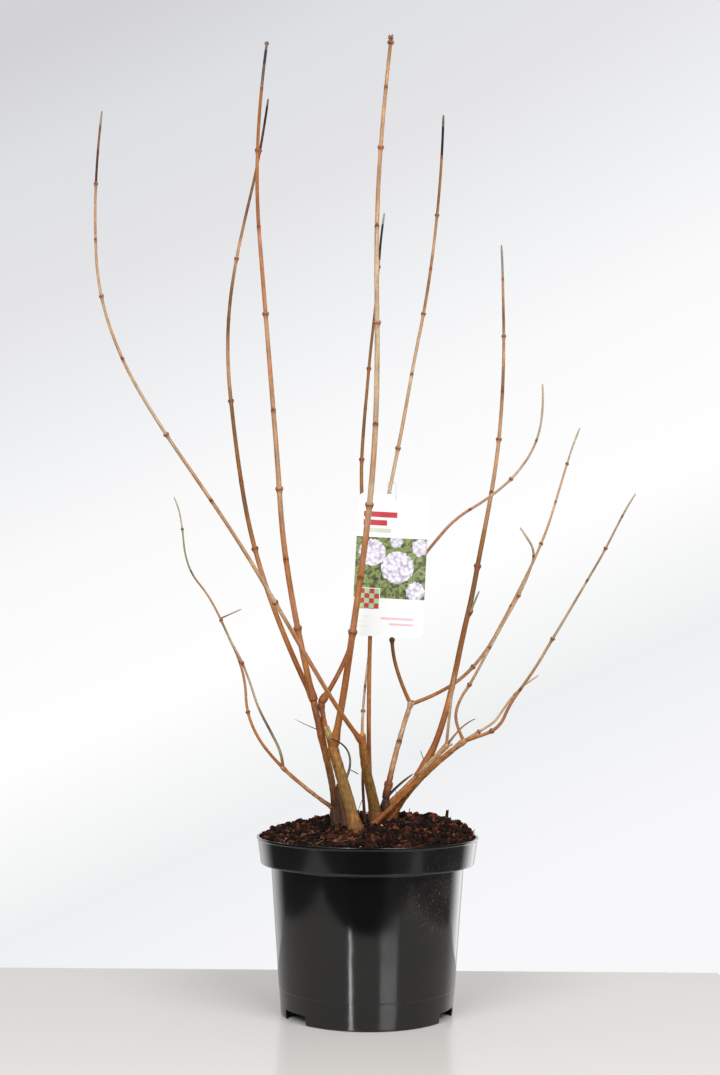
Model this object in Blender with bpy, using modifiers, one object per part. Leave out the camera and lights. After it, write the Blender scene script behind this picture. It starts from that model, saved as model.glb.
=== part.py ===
"""A leafless snowball viburnum, a flowering shrub, standing in its nursery pot.

The pot stands on the floor with its axis on Z, and the origin is the middle of its flat underside.
The front of the shrub faces -Y. Each stem grows by one rule: it leaves the mix, or the stem that
carries it, and bends evenly from one lean to the next, so that its course is a chain of arcs. It is
then cut 0.3 mm clear of what carries it and of what it passes.
"""

from collections import namedtuple
from math import cos, exp, hypot, pi, radians, sin, sqrt

import bmesh
import bpy
import numpy as np
from mathutils import Matrix, Vector, noise

MM = 0.001
GAP = 0.3 * MM              # clearance between two pieces that touch
WELD = 0.01 * MM            # welds the loose caps of a tube

# ---- pot: moulded, about 12 litres -------------------------------------------------------------
POT_HEIGHT = 237 * MM
RIM_RADIUS = 153 * MM
LIP_REACH = 1.2 * MM        # how far the rolled lip stands out of the collar
LIP_ROUND = 0.6 * MM        # its rounded top edge
LIP_HEIGHT = 3 * MM
COLLAR_HEIGHT = 37 * MM
COLLAR_FOOT_RADIUS = 148 * MM
WALL_TOP_RADIUS = 134 * MM  # under the collar
BASE_RADIUS = 118 * MM
WALL = 2.2 * MM
MOULD_LINE_HEIGHT = 36 * MM
MOULD_LINE_STEP = 0.4 * MM
FLOOR_RISE = 14 * MM        # the floor stands this high between the foot ring and the middle pad
FOOT_RING_WIDTH = 3 * MM
PAD_RADIUS = 45 * MM        # flat middle of the underside, level with the foot ring
PAD_SLOPE = 3 * MM          # width of the slope round the pad
NOTCHES = 3                 # flat-topped drain notches in the foot ring
NOTCH_WIDTH = 48 * MM
NOTCH_HEIGHT = 12.5 * MM    # under the raised floor
NOTCH_ROUND = 2 * MM        # its top corners
NOTCH_DEPTH = 20 * MM       # of the cutter, more than the wall's slope and thickness
FIRST_NOTCH_ANGLE = radians(-144)
POT_SEGMENTS = 48

# ---- potting mix: heaped, a little higher at the back and on the right -------------------------
MIX_MIDDLE = 250.5 * MM     # height of the mix at the pot's axis
MIX_RISE_RIGHT = 0.05       # slope of the heap along +X
MIX_RISE_BACK = 0.06        # slope of the heap along +Y
MIX_EDGE = 234 * MM         # height where it meets the collar
MIX_EDGE_RADIUS = 149.6 * MM
MIX_SHOULDER = 46 * MM      # the heap falls away over this width
MIX_LUMP = 1.6 * MM         # height and spacing of its lumps
MIX_LUMP_SPACING = 17 * MM
MIX_RINGS = 9
MIX_SEGMENTS = 48

# ---- hang card and its tie ---------------------------------------------------------------------
CARD_WIDTH = 101 * MM
CARD_HEIGHT = 205 * MM
CARD_THICK = 0.8 * MM
CARD_CORNER = 9 * MM
CARD_LEAN = radians(2.8)    # the card hangs a little out of plumb
CARD_MIDDLE = Vector((31, 2, 616)) * MM
CARD_HOLE = (3 * MM, 94 * MM)   # along and up the card from its middle
CARD_HOLE_RADIUS = 2.2 * MM
TIED_CANE = "behind_card"
TIE_HEIGHT = 738 * MM       # where the tie goes round its cane
TIE_THICK = 1.0 * MM
TIE_WIDTH = 9 * MM          # half the loop's width beside the cane
TIE_DEPTH = 6 * MM          # half its depth where it goes through the card
TIE_STATIONS = 32

# ---- how every stem grows ----------------------------------------------------------------------
ROOTING = 5 * MM            # a rooted stem starts this deep in the mix
GROWTH_STEP = 4 * MM
ROOT_FLARE = 0.35           # extra thickness at the foot of a rooted stem
FLARE_REACH = 14 * MM       # height over which the flare dies away
COLLAR_SWELL = 0.18         # extra thickness where a stem leaves its carrier
COLLAR_REACH = 8 * MM
BLUNT = 5                   # a tip at least this thick, in mm, has a flat end; a thinner one is pointed
POINT_REACH = 14 * MM       # length over which a pointed tip narrows
POINT_SHARE = 0.55          # thickness of the very tip, as a share
RING_SWELL = 0.32           # a bud ring is this much thicker than the stem
RING_WIDTH = 3.5 * MM
BUD_LENGTH = 7.5 * MM
BUD_THICK = 3.0 * MM
BUD_TIP = 0.25              # thickness of a bud's tip, as a share
BUD_SPLAY = radians(22)     # a bud leans this far out of its stem
BUD_OFFSET = 0.55           # where a bud is rooted: share of the stem's radius from its middle
BUD_SINK = 0.4              # how far below the ring: share of the bud's thickness
WOOD_SIDES = 2              # bevel resolution of trunks and limbs: 8 sides
CANE_SIDES = 1              # bevel resolution of canes and twigs: 6 sides
STATION = 30 * MM           # spacing of the rings of a tube
RING_STATIONS = (-1.3, 0, 1)    # rings of a tube at a bud ring, in ring widths
RING_CLEAR = 2.2            # no other ring of a tube comes this close to it, in ring widths

Stem = namedtuple("Stem", "on at length thick side back rings spray past", defaults=((), None, ()))
# on, at:  the stem that carries it, and how far along that one it leaves, in mm;
#          a rooted stem has no carrier, and at is the place of its foot, (x, y) in mm
# length:  along its course, in mm
# thick:   thickness at the foot and at the tip, in mm
# side:    its lean to the right (+) or left (-), in degrees, evenly spaced from foot to tip
# back:    its lean to the back (+) or front (-), in the same way
# rings:   its bud rings, in mm from the foot
# spray:   the bud ring, counted from 0, above which the thin budded end is a node of its own
# past:    other stems that it is cut clear of

TRUNKS = {
    "trunk_left": Stem(None, (-14, -46), 137, (17, 15), (-14, -18, -18), (13, 19, 22)),
    "trunk_centre": Stem(None, (13, 28), 138, (17, 11), (-7, -14, -3), (-15, -23, -15)),
    "crown_left": Stem(None, (-37, 8), 37, (18, 12), (-14, -18), (8, 11)),
    "crown_right": Stem(None, (30, 34), 40, (20, 14), (-7, -7), (4, 4), past=("trunk_centre",)),
    "trunk_left_rear": Stem("crown_left", 35, 154, (10, 10), (-5, -14, -14, -12), (0, 1, 5, 11)),
}
LIMBS = {
    "old_stump_left": Stem("trunk_left", 132, 74, (8, 7), (-27, -4), (40, 14), past=("trunk_left_rear",)),
    "limb_right_front": Stem(None, (27, 22), 170, (13, 7), (24, 38, 49, 52), (-18, -14, -11, -11),
                             past=("crown_right", "trunk_centre")),
    "limb_right_inner": Stem("crown_right", 36, 144, (9, 7), (11, 15, 20), (7, 11, 12), (20, 84)),
    "limb_right_pale": Stem("crown_right", 24, 126, (9.5, 7), (44, 44, 43), (-12, -7, -8),
                            past=("limb_right_front",)),
    "limb_low_left": Stem("crown_left", 28, 103, (6, 5.4), (-60, -48), (18, 18), past=("trunk_left_rear",)),
    "crossing_limb": Stem(None, (5, 10), 88, (7.7, 4.5), (42, 46, 44), (-14, -10, -2),
                          past=("trunk_centre", "limb_right_front")),
    "cut_stub_left": Stem("trunk_left", 130, 29, (11, 8.4), (-17, -17), (-13, -13),
                          past=("old_stump_left",)),
}
CANES = {
    "tall_front": Stem("trunk_left", 126, 1008, (10, 4.8), (12.5, 8, 8, 7, 4, 1, -1, 0, 3, 5, 6),
                       (-7, -9, -7, -5, -3, -2), (165, 244, 344, 458, 598, 735, 846, 933), 5,
                       ("cut_stub_left", "old_stump_left")),
    "tall_left": Stem("trunk_left_rear", 150, 965, (9, 4), (-14, -12, -9, -4, -5, -5, -5, -5, 0, 4, 7),
                      (-4, -4, -5, -4, -3, -2), (104, 206, 306, 421, 560, 689, 801, 894), 5),
    "arched_left": Stem("trunk_left_rear", 150, 1054, (8, 3.8),
                        (-28, -24.5, -21, -16, -11, -9, -7.5, -1.5, 5, 9.5, 11, 8, 6),
                        (22, 16, 14, 13, 10, 7, 5), (256, 370, 508, 652, 760, 857, 958), 4, ("tall_left",)),
    "outer_left": Stem("trunk_centre", 127, 946, (6.4, 2.8),
                       (-38, -31, -30, -31, -34, -35, -31, -19, -3, 2, 6),
                       (-24, -18, -18, -17, -15, -10, -6, -3), (237, 402, 506, 620, 704, 778, 850, 924), 4),
    "slim_centre": Stem("old_stump_left", 70, 795, (6.8, 3.4),
                        (34, 24, 10, 3, -3, -2, 3, 4.5, 4.5, 6, 4, 4, 8),
                        (6, 7, 11, 12, 10, 9, 8), (378, 462, 528, 606, 701), 2),
    "behind_card": Stem("trunk_centre", 58, 1062, (6.3, 3.8), (-3, 0, 1, 6, 11, 11, 9.5, 11, 8, 6, 4, 2),
                        (0, 0, 0, 3, 12, 14, 12, 10), (488, 605, 707, 786, 881, 985), 3),
    "inner_right": Stem("limb_right_inner", 141, 552, (5.6, 3), (-27, -17, 2, 22, 38, 40, 60, 50, 32, 8, -5),
                        (-7, -6, -4, -3, -7, -9, -9), (97, 328, 402, 470), 2),
    "rear_right": Stem("limb_right_inner", 141, 585, (5.4, 3), (72, 61, 42, 30, 29, 28, 25, 20, 19, 20, 24),
                       (16, 16, 20, 24, 24, 18), (113, 230, 352, 435, 512), 2, ("inner_right",)),
    "main_right": Stem("limb_right_pale", 62, 854, (9.4, 3.4),
                       (37, 21, 14, 12, 14, 11, 12, 11, 9, 6, 4, 2, 0, 0, -2),
                       (8, 8, 8, 10, 12, 10, 8, 6), (322, 440, 527, 607, 699, 796), 2,
                       ("limb_right_front",)),
    "front_right": Stem("limb_right_front", 167, 334, (4.4, 3),
                        (-28, -18, 18, 34, 28, 27, 28, 28, 29, 26, 22, 14, -34, -38),
                        (-14, -13, -16, -18, -18, -18), (87, 148, 230, 290), 2),
    "outer_right": Stem("limb_right_front", 167, 436, (4.8, 2.4),
                        (71, 68, 20, 34, 32, 28, 29, 28, 28, 28, 24, 25, 31),
                        (-22, -24, -26, -28, -28), (43, 120, 205, 302, 352, 402), 2, ("front_right",)),
    "low_left_rear": Stem("limb_low_left", 100, 518, (4.5, 2.4),
                          (-49, -40, -24, -5, -18, -29, -27, -32, -42, -22, -9, -14, -26),
                          (22, 20, 24, 26, 26, 26, 20), (104, 186, 266, 372, 455), 3),
}
# whole stems that are thin to their tips
TWIGS = {
    "spray_short_right": Stem("limb_right_pale", 123, 226, (4.2, 2.8), (5, 6, 14, 24), (-11, -10, -10, -12),
                              (191,)),
    "spray_low_right": Stem("limb_right_front", 168, 150, (4, 2.4), (58, 60, 60, 36, 36, 44, 56, 57),
                            (20, 15, 14), (25, 104), past=("outer_right",)),
    "spray_low_left_front": Stem("limb_low_left", 101, 228, (4.2, 2.8), (-2, -27, -28, -17, -21, -30, -22),
                                 (-10, -14, -14, -12), (164,), past=("low_left_rear",)),
    "spray_beside_card": Stem("trunk_centre", 134, 164, (4.2, 2.6), (0, 6, 7), (30, 22, 14), (41, 79),
                              past=("outer_left",)),
    "twig_dark_right": Stem("crown_right", 36, 52, (4, 2.8), (40, 56), (-4, 5),
                            past=("limb_right_inner", "limb_right_pale", "main_right")),
    "twig_beside_trunk": Stem(None, (-3, 14), 80, (4.4, 3.7), (-5, -2), (-1, -10), past=("trunk_centre",)),
    "twig_curled": Stem("trunk_left", 72, 78, (4, 1.7), (24, 17, -10, -50, -80), (5, 5)),
    "twig_fine_right": Stem("limb_right_pale", 123, 57, (3.6, 1.8), (36, 42, 68), (-5, -5),
                            past=("spray_short_right",)),
    "twig_fine_left": Stem("low_left_rear", 270, 36, (2.4, 1.8), (64, 64), (17, 17)),
}
STEMS = {**TRUNKS, **LIMBS, **CANES, **TWIGS}

BARK_OLIVE = (0.20, 0.12, 0.055)
BARK_RUST = (0.30, 0.115, 0.045)
BARK_TAN = (0.38, 0.21, 0.11)
TWIG_GREY = (0.16, 0.12, 0.09)
POT_BLACK = (0.010, 0.011, 0.012)
MIX_BROWN = (0.055, 0.028, 0.018)
CARD_WHITE = (0.80, 0.82, 0.82)
TIE_CLEAR = (0.60, 0.62, 0.62)
SHARP_ANGLE = radians(40)


def clear_scene():
    for item in list(bpy.data.objects):
        bpy.data.objects.remove(item, do_unlink=True)


def new_collection(name):
    group = bpy.data.collections.new(name)
    bpy.context.scene.collection.children.link(group)
    return group


def finish(name, colour, roughness):
    """A plain Principled material for one piece."""
    material = bpy.data.materials.new(name)
    material.use_nodes = True
    shader = material.node_tree.nodes["Principled BSDF"]
    shader.inputs["Base Color"].default_value = (*colour, 1.0)
    shader.inputs["Roughness"].default_value = roughness
    shader.inputs["Metallic"].default_value = 0.0
    return material


def add_piece(name, mesh, group, colour, roughness):
    """Puts a mesh into the model as a named piece with its own material."""
    mesh.name = name
    mesh.materials.clear()
    mesh.materials.append(finish(name, colour, roughness))
    mesh.shade_smooth()
    mesh.set_sharp_from_angle(angle=SHARP_ANGLE)
    piece = bpy.data.objects.new(name, mesh)
    group.objects.link(piece)
    return piece


def baked_mesh(source):
    """A plain mesh of an object with its modifiers applied and its loose caps welded."""
    bpy.context.view_layer.update()
    depsgraph = bpy.context.evaluated_depsgraph_get()
    mesh = bpy.data.meshes.new_from_object(source.evaluated_get(depsgraph))
    mesh.transform(source.matrix_world)
    shape = bmesh.new()
    shape.from_mesh(mesh)
    bmesh.ops.remove_doubles(shape, verts=shape.verts, dist=WELD)
    bmesh.ops.recalc_face_normals(shape, faces=shape.faces)
    shape.to_mesh(mesh)
    shape.free()
    return mesh


def mesh_from(shape, name):
    """The finished mesh of a bmesh, which is freed."""
    mesh = bpy.data.meshes.new(name)
    shape.to_mesh(mesh)
    shape.free()
    return mesh


def as_cutter(piece, cutters):
    """Puts a helper object among the cutters, which the model leaves out."""
    cutters.objects.link(piece)
    piece.hide_render = True
    piece.display_type = "WIRE"
    return piece


def cut(piece, cutter):
    """Takes a cutter's space out of a piece."""
    boolean = piece.modifiers.new("cut_" + cutter.name, "BOOLEAN")
    boolean.operation = "DIFFERENCE"
    boolean.solver = "EXACT"
    boolean.object = cutter


# ---- growth ------------------------------------------------------------------------------------
def heap_top(x, y):
    """Height of the heap of potting mix away from its edge, without its lumps."""
    return MIX_MIDDLE + MIX_RISE_RIGHT * x + MIX_RISE_BACK * y


def grow(stem, courses):
    """Distances and points along a stem: one small step after another, each at the lean it has there."""
    if stem.on is None:
        x, y = (value * MM for value in stem.at)
        place = np.array((x, y, heap_top(x, y) - ROOTING))
    else:
        place = place_along(courses[stem.on], stem.at * MM)
    steps = round(stem.length * MM / GROWTH_STEP)
    step = stem.length * MM / steps
    points = [place]
    for count in range(steps):
        share = (count + 0.5) / steps
        side, back = (radians(np.interp(share, np.linspace(0, 1, len(leans)), leans))
                      for leans in (stem.side, stem.back))
        place = place + step * np.array((sin(side) * cos(back), sin(back), cos(side) * cos(back)))
        points.append(place)
    return np.arange(steps + 1) * step, np.array(points)


def place_along(course, mark):
    """The point at a distance along a course."""
    distances, points = course
    return np.array([np.interp(mark, distances, points[:, axis]) for axis in range(3)])


def grow_all():
    """The courses of all the stems, each grown after the one that carries it."""
    courses = {}
    for name, stem in STEMS.items():
        courses[name] = grow(stem, courses)
    return courses


def bud_rings(stem):
    """Distances of the bud rings from the foot, in metres."""
    return [ring * MM for ring in stem.rings]


def thickness(stem, mark):
    """Thickness of a stem at a distance from its foot, without its bud rings."""
    length = stem.length * MM
    foot, tip = stem.thick
    thick = (foot + (tip - foot) * mark / length) * MM
    if stem.on is None:
        thick *= 1 + ROOT_FLARE * exp(-mark / FLARE_REACH)
    else:
        thick *= 1 + COLLAR_SWELL * exp(-mark / COLLAR_REACH)
    left = length - mark
    if tip < BLUNT and left < POINT_REACH:
        thick *= POINT_SHARE + (1 - POINT_SHARE) * sqrt(max(0, left) / POINT_REACH)
    return thick


def stations(start, end, rings):
    """Distances at which a tube has a ring of points: evenly spaced, with three at each bud ring."""
    count = max(1, round((end - start) / STATION))
    clear = RING_CLEAR * RING_WIDTH
    between = [start + (end - start) * i / count for i in range(1, count)]
    marks = [start, end] + [m for m in between if all(abs(m - ring) > clear for ring in rings)]
    for ring in rings:
        near = [ring + offset * RING_WIDTH for offset in RING_STATIONS]
        marks += [m for m in near if start + WELD < m < end - WELD]
    return sorted(marks)


def stem_points(stem, course, start, end):
    """(point, radius) along part of a stem, swollen at its bud rings."""
    rings = bud_rings(stem)
    points = []
    for mark in stations(start, end, rings):
        swell = 1 + RING_SWELL * sum(exp(-((mark - ring) / RING_WIDTH) ** 2) for ring in rings)
        points.append((Vector(place_along(course, mark)), thickness(stem, mark) / 2 * swell))
    return points


def tube(points, resolution, spread=0.0):
    """A closed tube mesh through (point, radius) pairs, swollen on all sides by spread."""
    data = bpy.data.curves.new("tube", "CURVE")
    data.dimensions = "3D"
    data.bevel_depth = 1.0
    data.bevel_resolution = resolution
    data.use_fill_caps = True
    spline = data.splines.new("POLY")
    spline.points.add(len(points) - 1)
    first = (points[0][0] - points[1][0]).normalized() * spread
    last = (points[-1][0] - points[-2][0]).normalized() * spread
    for i, (place, radius) in enumerate(points):
        reach = first if i == 0 else last if i == len(points) - 1 else Vector()
        spline.points[i].co = (*(place + reach), 1.0)
        spline.points[i].radius = radius + spread
    curve = bpy.data.objects.new("tube", data)
    bpy.context.scene.collection.objects.link(curve)
    mesh = baked_mesh(curve)
    bpy.data.objects.remove(curve)
    bpy.data.curves.remove(data)
    return mesh


def one_body(mesh):
    """Drops the loose scraps of a mesh, and says whether what stays is one closed body."""
    shape = bmesh.new()
    shape.from_mesh(mesh)
    bmesh.ops.triangulate(shape, faces=shape.faces)
    waiting = set(shape.faces)
    bodies = []
    while waiting:
        body = set()
        reach = [waiting.pop()]
        while reach:
            face = reach.pop()
            body.add(face)
            for edge in face.edges:
                near = waiting.intersection(edge.link_faces)
                waiting -= near
                reach.extend(near)
        bodies.append(body)
    bodies.sort(key=len)
    scraps = [face for body in bodies[:-1] for face in body]
    bmesh.ops.delete(shape, geom=scraps, context="FACES")
    closed = len(shape.faces) > 0 and all(edge.is_manifold for edge in shape.edges)
    shape.to_mesh(mesh)
    shape.free()
    return closed


def combined(mesh, operation, operands):
    """One closed mesh: a mesh joined with other meshes, or cut by them."""
    heap = bpy.data.collections.new("operands")
    bpy.context.scene.collection.children.link(heap)
    for operand in operands:
        heap.objects.link(bpy.data.objects.new("operand", operand))
    body = bpy.data.objects.new("body", mesh)
    bpy.context.scene.collection.objects.link(body)
    boolean = body.modifiers.new("combine", "BOOLEAN")
    boolean.operation = operation
    boolean.operand_type = "COLLECTION"
    boolean.collection = heap
    for solver in ("EXACT", "MANIFOLD"):
        boolean.solver = solver
        result = baked_mesh(body)
        if one_body(result):
            break
    for item in [body, *heap.objects]:
        bpy.data.objects.remove(item)
    bpy.data.collections.remove(heap)
    return result


def bud(place, along, out):
    """A slim pointed bud that leans out of a stem at a bud ring, its root sunk in the ring."""
    shape = bmesh.new()
    bmesh.ops.create_cone(shape, cap_ends=True, segments=4, radius1=BUD_THICK / 2,
                          radius2=BUD_THICK / 2 * BUD_TIP, depth=BUD_LENGTH)
    bmesh.ops.translate(shape, verts=shape.verts, vec=(0, 0, BUD_LENGTH / 2))
    lean = (along * cos(BUD_SPLAY) + out * sin(BUD_SPLAY)).normalized()
    turn = lean.to_track_quat("Z", "Y").to_matrix().to_4x4()
    bmesh.ops.transform(shape, verts=shape.verts, matrix=Matrix.Translation(place) @ turn)
    return mesh_from(shape, "bud")


def bud_pairs(stem, course, start, end):
    """Opposite pairs of buds at the bud rings of a spray, each pair square to the last."""
    buds = []
    for count, ring in enumerate(bud_rings(stem)):
        if not start + RING_WIDTH < ring < end - RING_WIDTH:
            continue
        here = Vector(place_along(course, ring))
        along = (Vector(place_along(course, ring + RING_WIDTH)) - here).normalized()
        across = along.cross(Vector((0, 1, 0))).normalized()
        if count % 2:
            across = along.cross(across)
        offset = thickness(stem, ring) / 2 * BUD_OFFSET
        root = here - along * BUD_THICK * BUD_SINK
        for side in (1, -1):
            buds.append(bud(root + across * side * offset, along, across * side))
    return buds


def body_of(name):
    """The name of the node that a stem's lower part is."""
    return "cane_" + name if name in CANES else name


def add_stem(node, name, courses, model, cutters, look, stretch=None, seated=True, budded=False):
    """Builds a stem, or a stretch of it, as a piece cut clear of what carries it, and its own cutter."""
    stem = STEMS[name]
    start, end = stretch or (0.0, stem.length * MM)
    colour, resolution = look
    points = stem_points(stem, courses[name], start, end)
    mesh = tube(points, resolution)
    buds = bud_pairs(stem, courses[name], start, end) if budded else []
    if buds:
        mesh = combined(mesh, "UNION", buds)
    carriers = [stem.on, *stem.past] if stem.on else stem.past
    for carrier in carriers if seated else ():
        mesh = combined(mesh, "DIFFERENCE", [cutters.objects["space_" + body_of(carrier)].data])
    add_piece(node, mesh, model, colour, 0.6)
    as_cutter(bpy.data.objects.new("space_" + node, tube(points, resolution, GAP)), cutters)


def add_cane(name, courses, model, cutters):
    """A cane in two pieces: the bough up to just above one bud ring, and the budded spray above it."""
    stem = CANES[name]
    split = bud_rings(stem)[stem.spray] + 2 * RING_WIDTH
    look = (BARK_TAN, CANE_SIDES)
    add_stem("cane_" + name, name, courses, model, cutters, look, (0.0, split))
    add_stem("spray_" + name, name, courses, model, cutters, look, (split + GAP, stem.length * MM),
             seated=False, budded=True)


# ---- pot ---------------------------------------------------------------------------------------
def wall_radius(height):
    """Outer radius of the pot's wall under the collar."""
    slope = (WALL_TOP_RADIUS - BASE_RADIUS) / (POT_HEIGHT - COLLAR_HEIGHT)
    return BASE_RADIUS + slope * height


def pot_inside(spread=0.0):
    """Profile of the pot's inner face, or of one that lies inside it by spread, from the axis up."""
    ledge = POT_HEIGHT - COLLAR_HEIGHT + WALL + spread
    floor = WALL + spread
    side = WALL + 2 * spread
    return [(0, floor), (PAD_RADIUS - spread, floor), (PAD_RADIUS + PAD_SLOPE - spread, FLOOR_RISE + floor),
            (wall_radius(FLOOR_RISE) - side, FLOOR_RISE + floor), (WALL_TOP_RADIUS - side, ledge),
            (COLLAR_FOOT_RADIUS - side, ledge), (RIM_RADIUS - side, POT_HEIGHT)]


def pot_outside():
    """Profile of the pot's outer face from the lip down and in to the middle of the underside."""
    ledge = POT_HEIGHT - COLLAR_HEIGHT
    lip = RIM_RADIUS + LIP_REACH
    line = MOULD_LINE_HEIGHT
    rounding = MOULD_LINE_STEP
    ring = BASE_RADIUS - FOOT_RING_WIDTH
    return [(lip, POT_HEIGHT - LIP_ROUND), (lip, POT_HEIGHT - LIP_HEIGHT + LIP_ROUND),
            (RIM_RADIUS, POT_HEIGHT - LIP_HEIGHT), (COLLAR_FOOT_RADIUS, ledge + LIP_ROUND),
            (COLLAR_FOOT_RADIUS - LIP_ROUND, ledge), (WALL_TOP_RADIUS, ledge),
            (wall_radius(line) + MOULD_LINE_STEP, line), (wall_radius(line), line - 2 * MOULD_LINE_STEP),
            (BASE_RADIUS + rounding, 2 * rounding), (BASE_RADIUS - rounding, 0), (ring, 0),
            (ring, FLOOR_RISE), (PAD_RADIUS + PAD_SLOPE + WALL, FLOOR_RISE), (PAD_RADIUS + WALL, 0), (0, 0)]


def turned(profile, segments):
    """A closed mesh from a profile that runs from the axis round to the axis again, by Screw."""
    data = bpy.data.meshes.new("turned")
    shape = bmesh.new()
    points = [shape.verts.new((radius, 0, height)) for radius, height in profile]
    for a, b in zip(points, points[1:]):
        shape.edges.new((a, b))
    shape.to_mesh(data)
    shape.free()
    body = bpy.data.objects.new("turned", data)
    bpy.context.scene.collection.objects.link(body)
    screw = body.modifiers.new("turn", "SCREW")
    screw.steps = segments
    screw.render_steps = segments
    screw.use_merge_vertices = True
    screw.merge_threshold = WELD
    mesh = baked_mesh(body)
    bpy.data.objects.remove(body)
    return mesh


def add_notch_cutter(index, cutters):
    """A flat-topped opening through the foot ring, under the raised floor."""
    angle = FIRST_NOTCH_ANGLE + index * 2 * pi / NOTCHES
    shape = bmesh.new()
    bmesh.ops.create_cube(shape, size=1.0)
    bmesh.ops.scale(shape, verts=shape.verts, vec=(NOTCH_DEPTH, NOTCH_WIDTH, 2 * NOTCH_HEIGHT))
    corners = [e for e in shape.edges if abs(e.verts[0].co.x - e.verts[1].co.x) > NOTCH_DEPTH / 2]
    bmesh.ops.bevel(shape, geom=corners, offset=NOTCH_ROUND, segments=3, profile=0.5, affect="EDGES",
                    material=-1)
    bmesh.ops.translate(shape, verts=shape.verts, vec=(BASE_RADIUS, 0, 0))
    bmesh.ops.rotate(shape, verts=shape.verts, matrix=Matrix.Rotation(angle, 3, "Z"))
    return as_cutter(bpy.data.objects.new(f"notch_{index + 1}", mesh_from(shape, "notch")), cutters)


def add_pot(model, cutters):
    pot = add_piece("pot", turned(pot_inside() + pot_outside(), POT_SEGMENTS), model, POT_BLACK, 0.25)
    for index in range(NOTCHES):
        cut(pot, add_notch_cutter(index, cutters))


# ---- potting mix -------------------------------------------------------------------------------
def mix_height(x, y):
    """Height of the heap of potting mix: a lumpy tilted top that rolls off to the collar."""
    reach = min(1.0, max(0.0, (MIX_EDGE_RADIUS - hypot(x, y)) / MIX_SHOULDER))
    lump = noise.noise(Vector((x, y, 0)) / MIX_LUMP_SPACING) * MIX_LUMP if reach > 0 else 0
    return MIX_EDGE + (heap_top(x, y) - MIX_EDGE) * sqrt(reach) + lump


def add_potting_mix(model, cutters):
    """The mix fills the pot a gap clear of it, and each stem that stands in it has its own pocket."""
    wall = pot_inside(GAP)[:-1] + [(MIX_EDGE_RADIUS, MIX_EDGE)]
    top = [(MIX_EDGE_RADIUS * (i / MIX_RINGS) ** 0.8, MIX_EDGE) for i in range(MIX_RINGS)]
    mesh = turned(top + wall[::-1], MIX_SEGMENTS)
    for vertex in mesh.vertices:
        if vertex.co.z > MIX_EDGE - WELD:
            vertex.co.z = mix_height(vertex.co.x, vertex.co.y)
    mix = add_piece("potting_mix", mesh, model, MIX_BROWN, 0.9)
    for name, stem in STEMS.items():
        if stem.on is None:
            cut(mix, cutters.objects["space_" + name])


# ---- hang card ---------------------------------------------------------------------------------
def card_place():
    return Matrix.Translation(CARD_MIDDLE) @ Matrix.Rotation(CARD_LEAN, 4, "Y")


def add_card(model, cutters):
    """A stiff card with round corners and a punched hole, hanging face-on to the front."""
    shape = bmesh.new()
    bmesh.ops.create_cube(shape, size=1.0)
    bmesh.ops.scale(shape, verts=shape.verts, vec=(CARD_WIDTH, CARD_THICK, CARD_HEIGHT))
    corners = [e for e in shape.edges if abs(e.verts[0].co.y - e.verts[1].co.y) > CARD_THICK / 2]
    bmesh.ops.bevel(shape, geom=corners, offset=CARD_CORNER, segments=5, profile=0.5, affect="EDGES",
                    material=-1)
    bmesh.ops.transform(shape, verts=shape.verts, matrix=card_place())
    card = add_piece("hang_card", mesh_from(shape, "card"), model, CARD_WHITE, 0.3)
    hole = bmesh.new()
    bmesh.ops.create_cone(hole, cap_ends=True, segments=16, radius1=CARD_HOLE_RADIUS,
                          radius2=CARD_HOLE_RADIUS, depth=10 * CARD_THICK)
    bmesh.ops.rotate(hole, verts=hole.verts, matrix=Matrix.Rotation(pi / 2, 3, "X"))
    bmesh.ops.translate(hole, verts=hole.verts, vec=(CARD_HOLE[0], 0, CARD_HOLE[1]))
    bmesh.ops.transform(hole, verts=hole.verts, matrix=card_place())
    cut(card, as_cutter(bpy.data.objects.new("punch", mesh_from(hole, "punch")), cutters))


def tie_top(course, stem):
    """The middle of the tie's cord where it bears on the back of its cane."""
    distances, points = course
    mark = np.interp(TIE_HEIGHT, points[:, 2], distances)
    clear = (thickness(stem, mark) + TIE_THICK) / 2 + GAP
    return Vector(place_along(course, mark)) + Vector((0, clear, 0))


def add_tie(courses, model):
    """A closed loop of clear cord through the card's hole and round the cane behind it."""
    low = card_place() @ Vector((CARD_HOLE[0], 0, CARD_HOLE[1]))
    low.z += CARD_HOLE_RADIUS - TIE_THICK / 2 - GAP
    rise = tie_top(courses[TIED_CANE], CANES[TIED_CANE]) - low
    data = bpy.data.curves.new("tie", "CURVE")
    data.dimensions = "3D"
    data.bevel_depth = TIE_THICK / 2
    data.bevel_resolution = 1
    spline = data.splines.new("POLY")
    spline.points.add(TIE_STATIONS - 1)
    spline.use_cyclic_u = True
    for i in range(TIE_STATIONS):
        turn = 2 * pi * i / TIE_STATIONS
        along = (1 - cos(turn)) / 2
        x = low.x + rise.x * sin(pi / 2 * along) + sin(turn) * TIE_WIDTH * along
        y = low.y + rise.y * along ** 3 - sin(turn) * TIE_DEPTH * (1 - along)
        spline.points[i].co = (x, y, low.z + rise.z * along, 1.0)
    curve = bpy.data.objects.new("tie", data)
    bpy.context.scene.collection.objects.link(curve)
    mesh = baked_mesh(curve)
    bpy.data.objects.remove(curve)
    bpy.data.curves.remove(data)
    add_piece("card_tie", mesh, model, TIE_CLEAR, 0.3)


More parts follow.
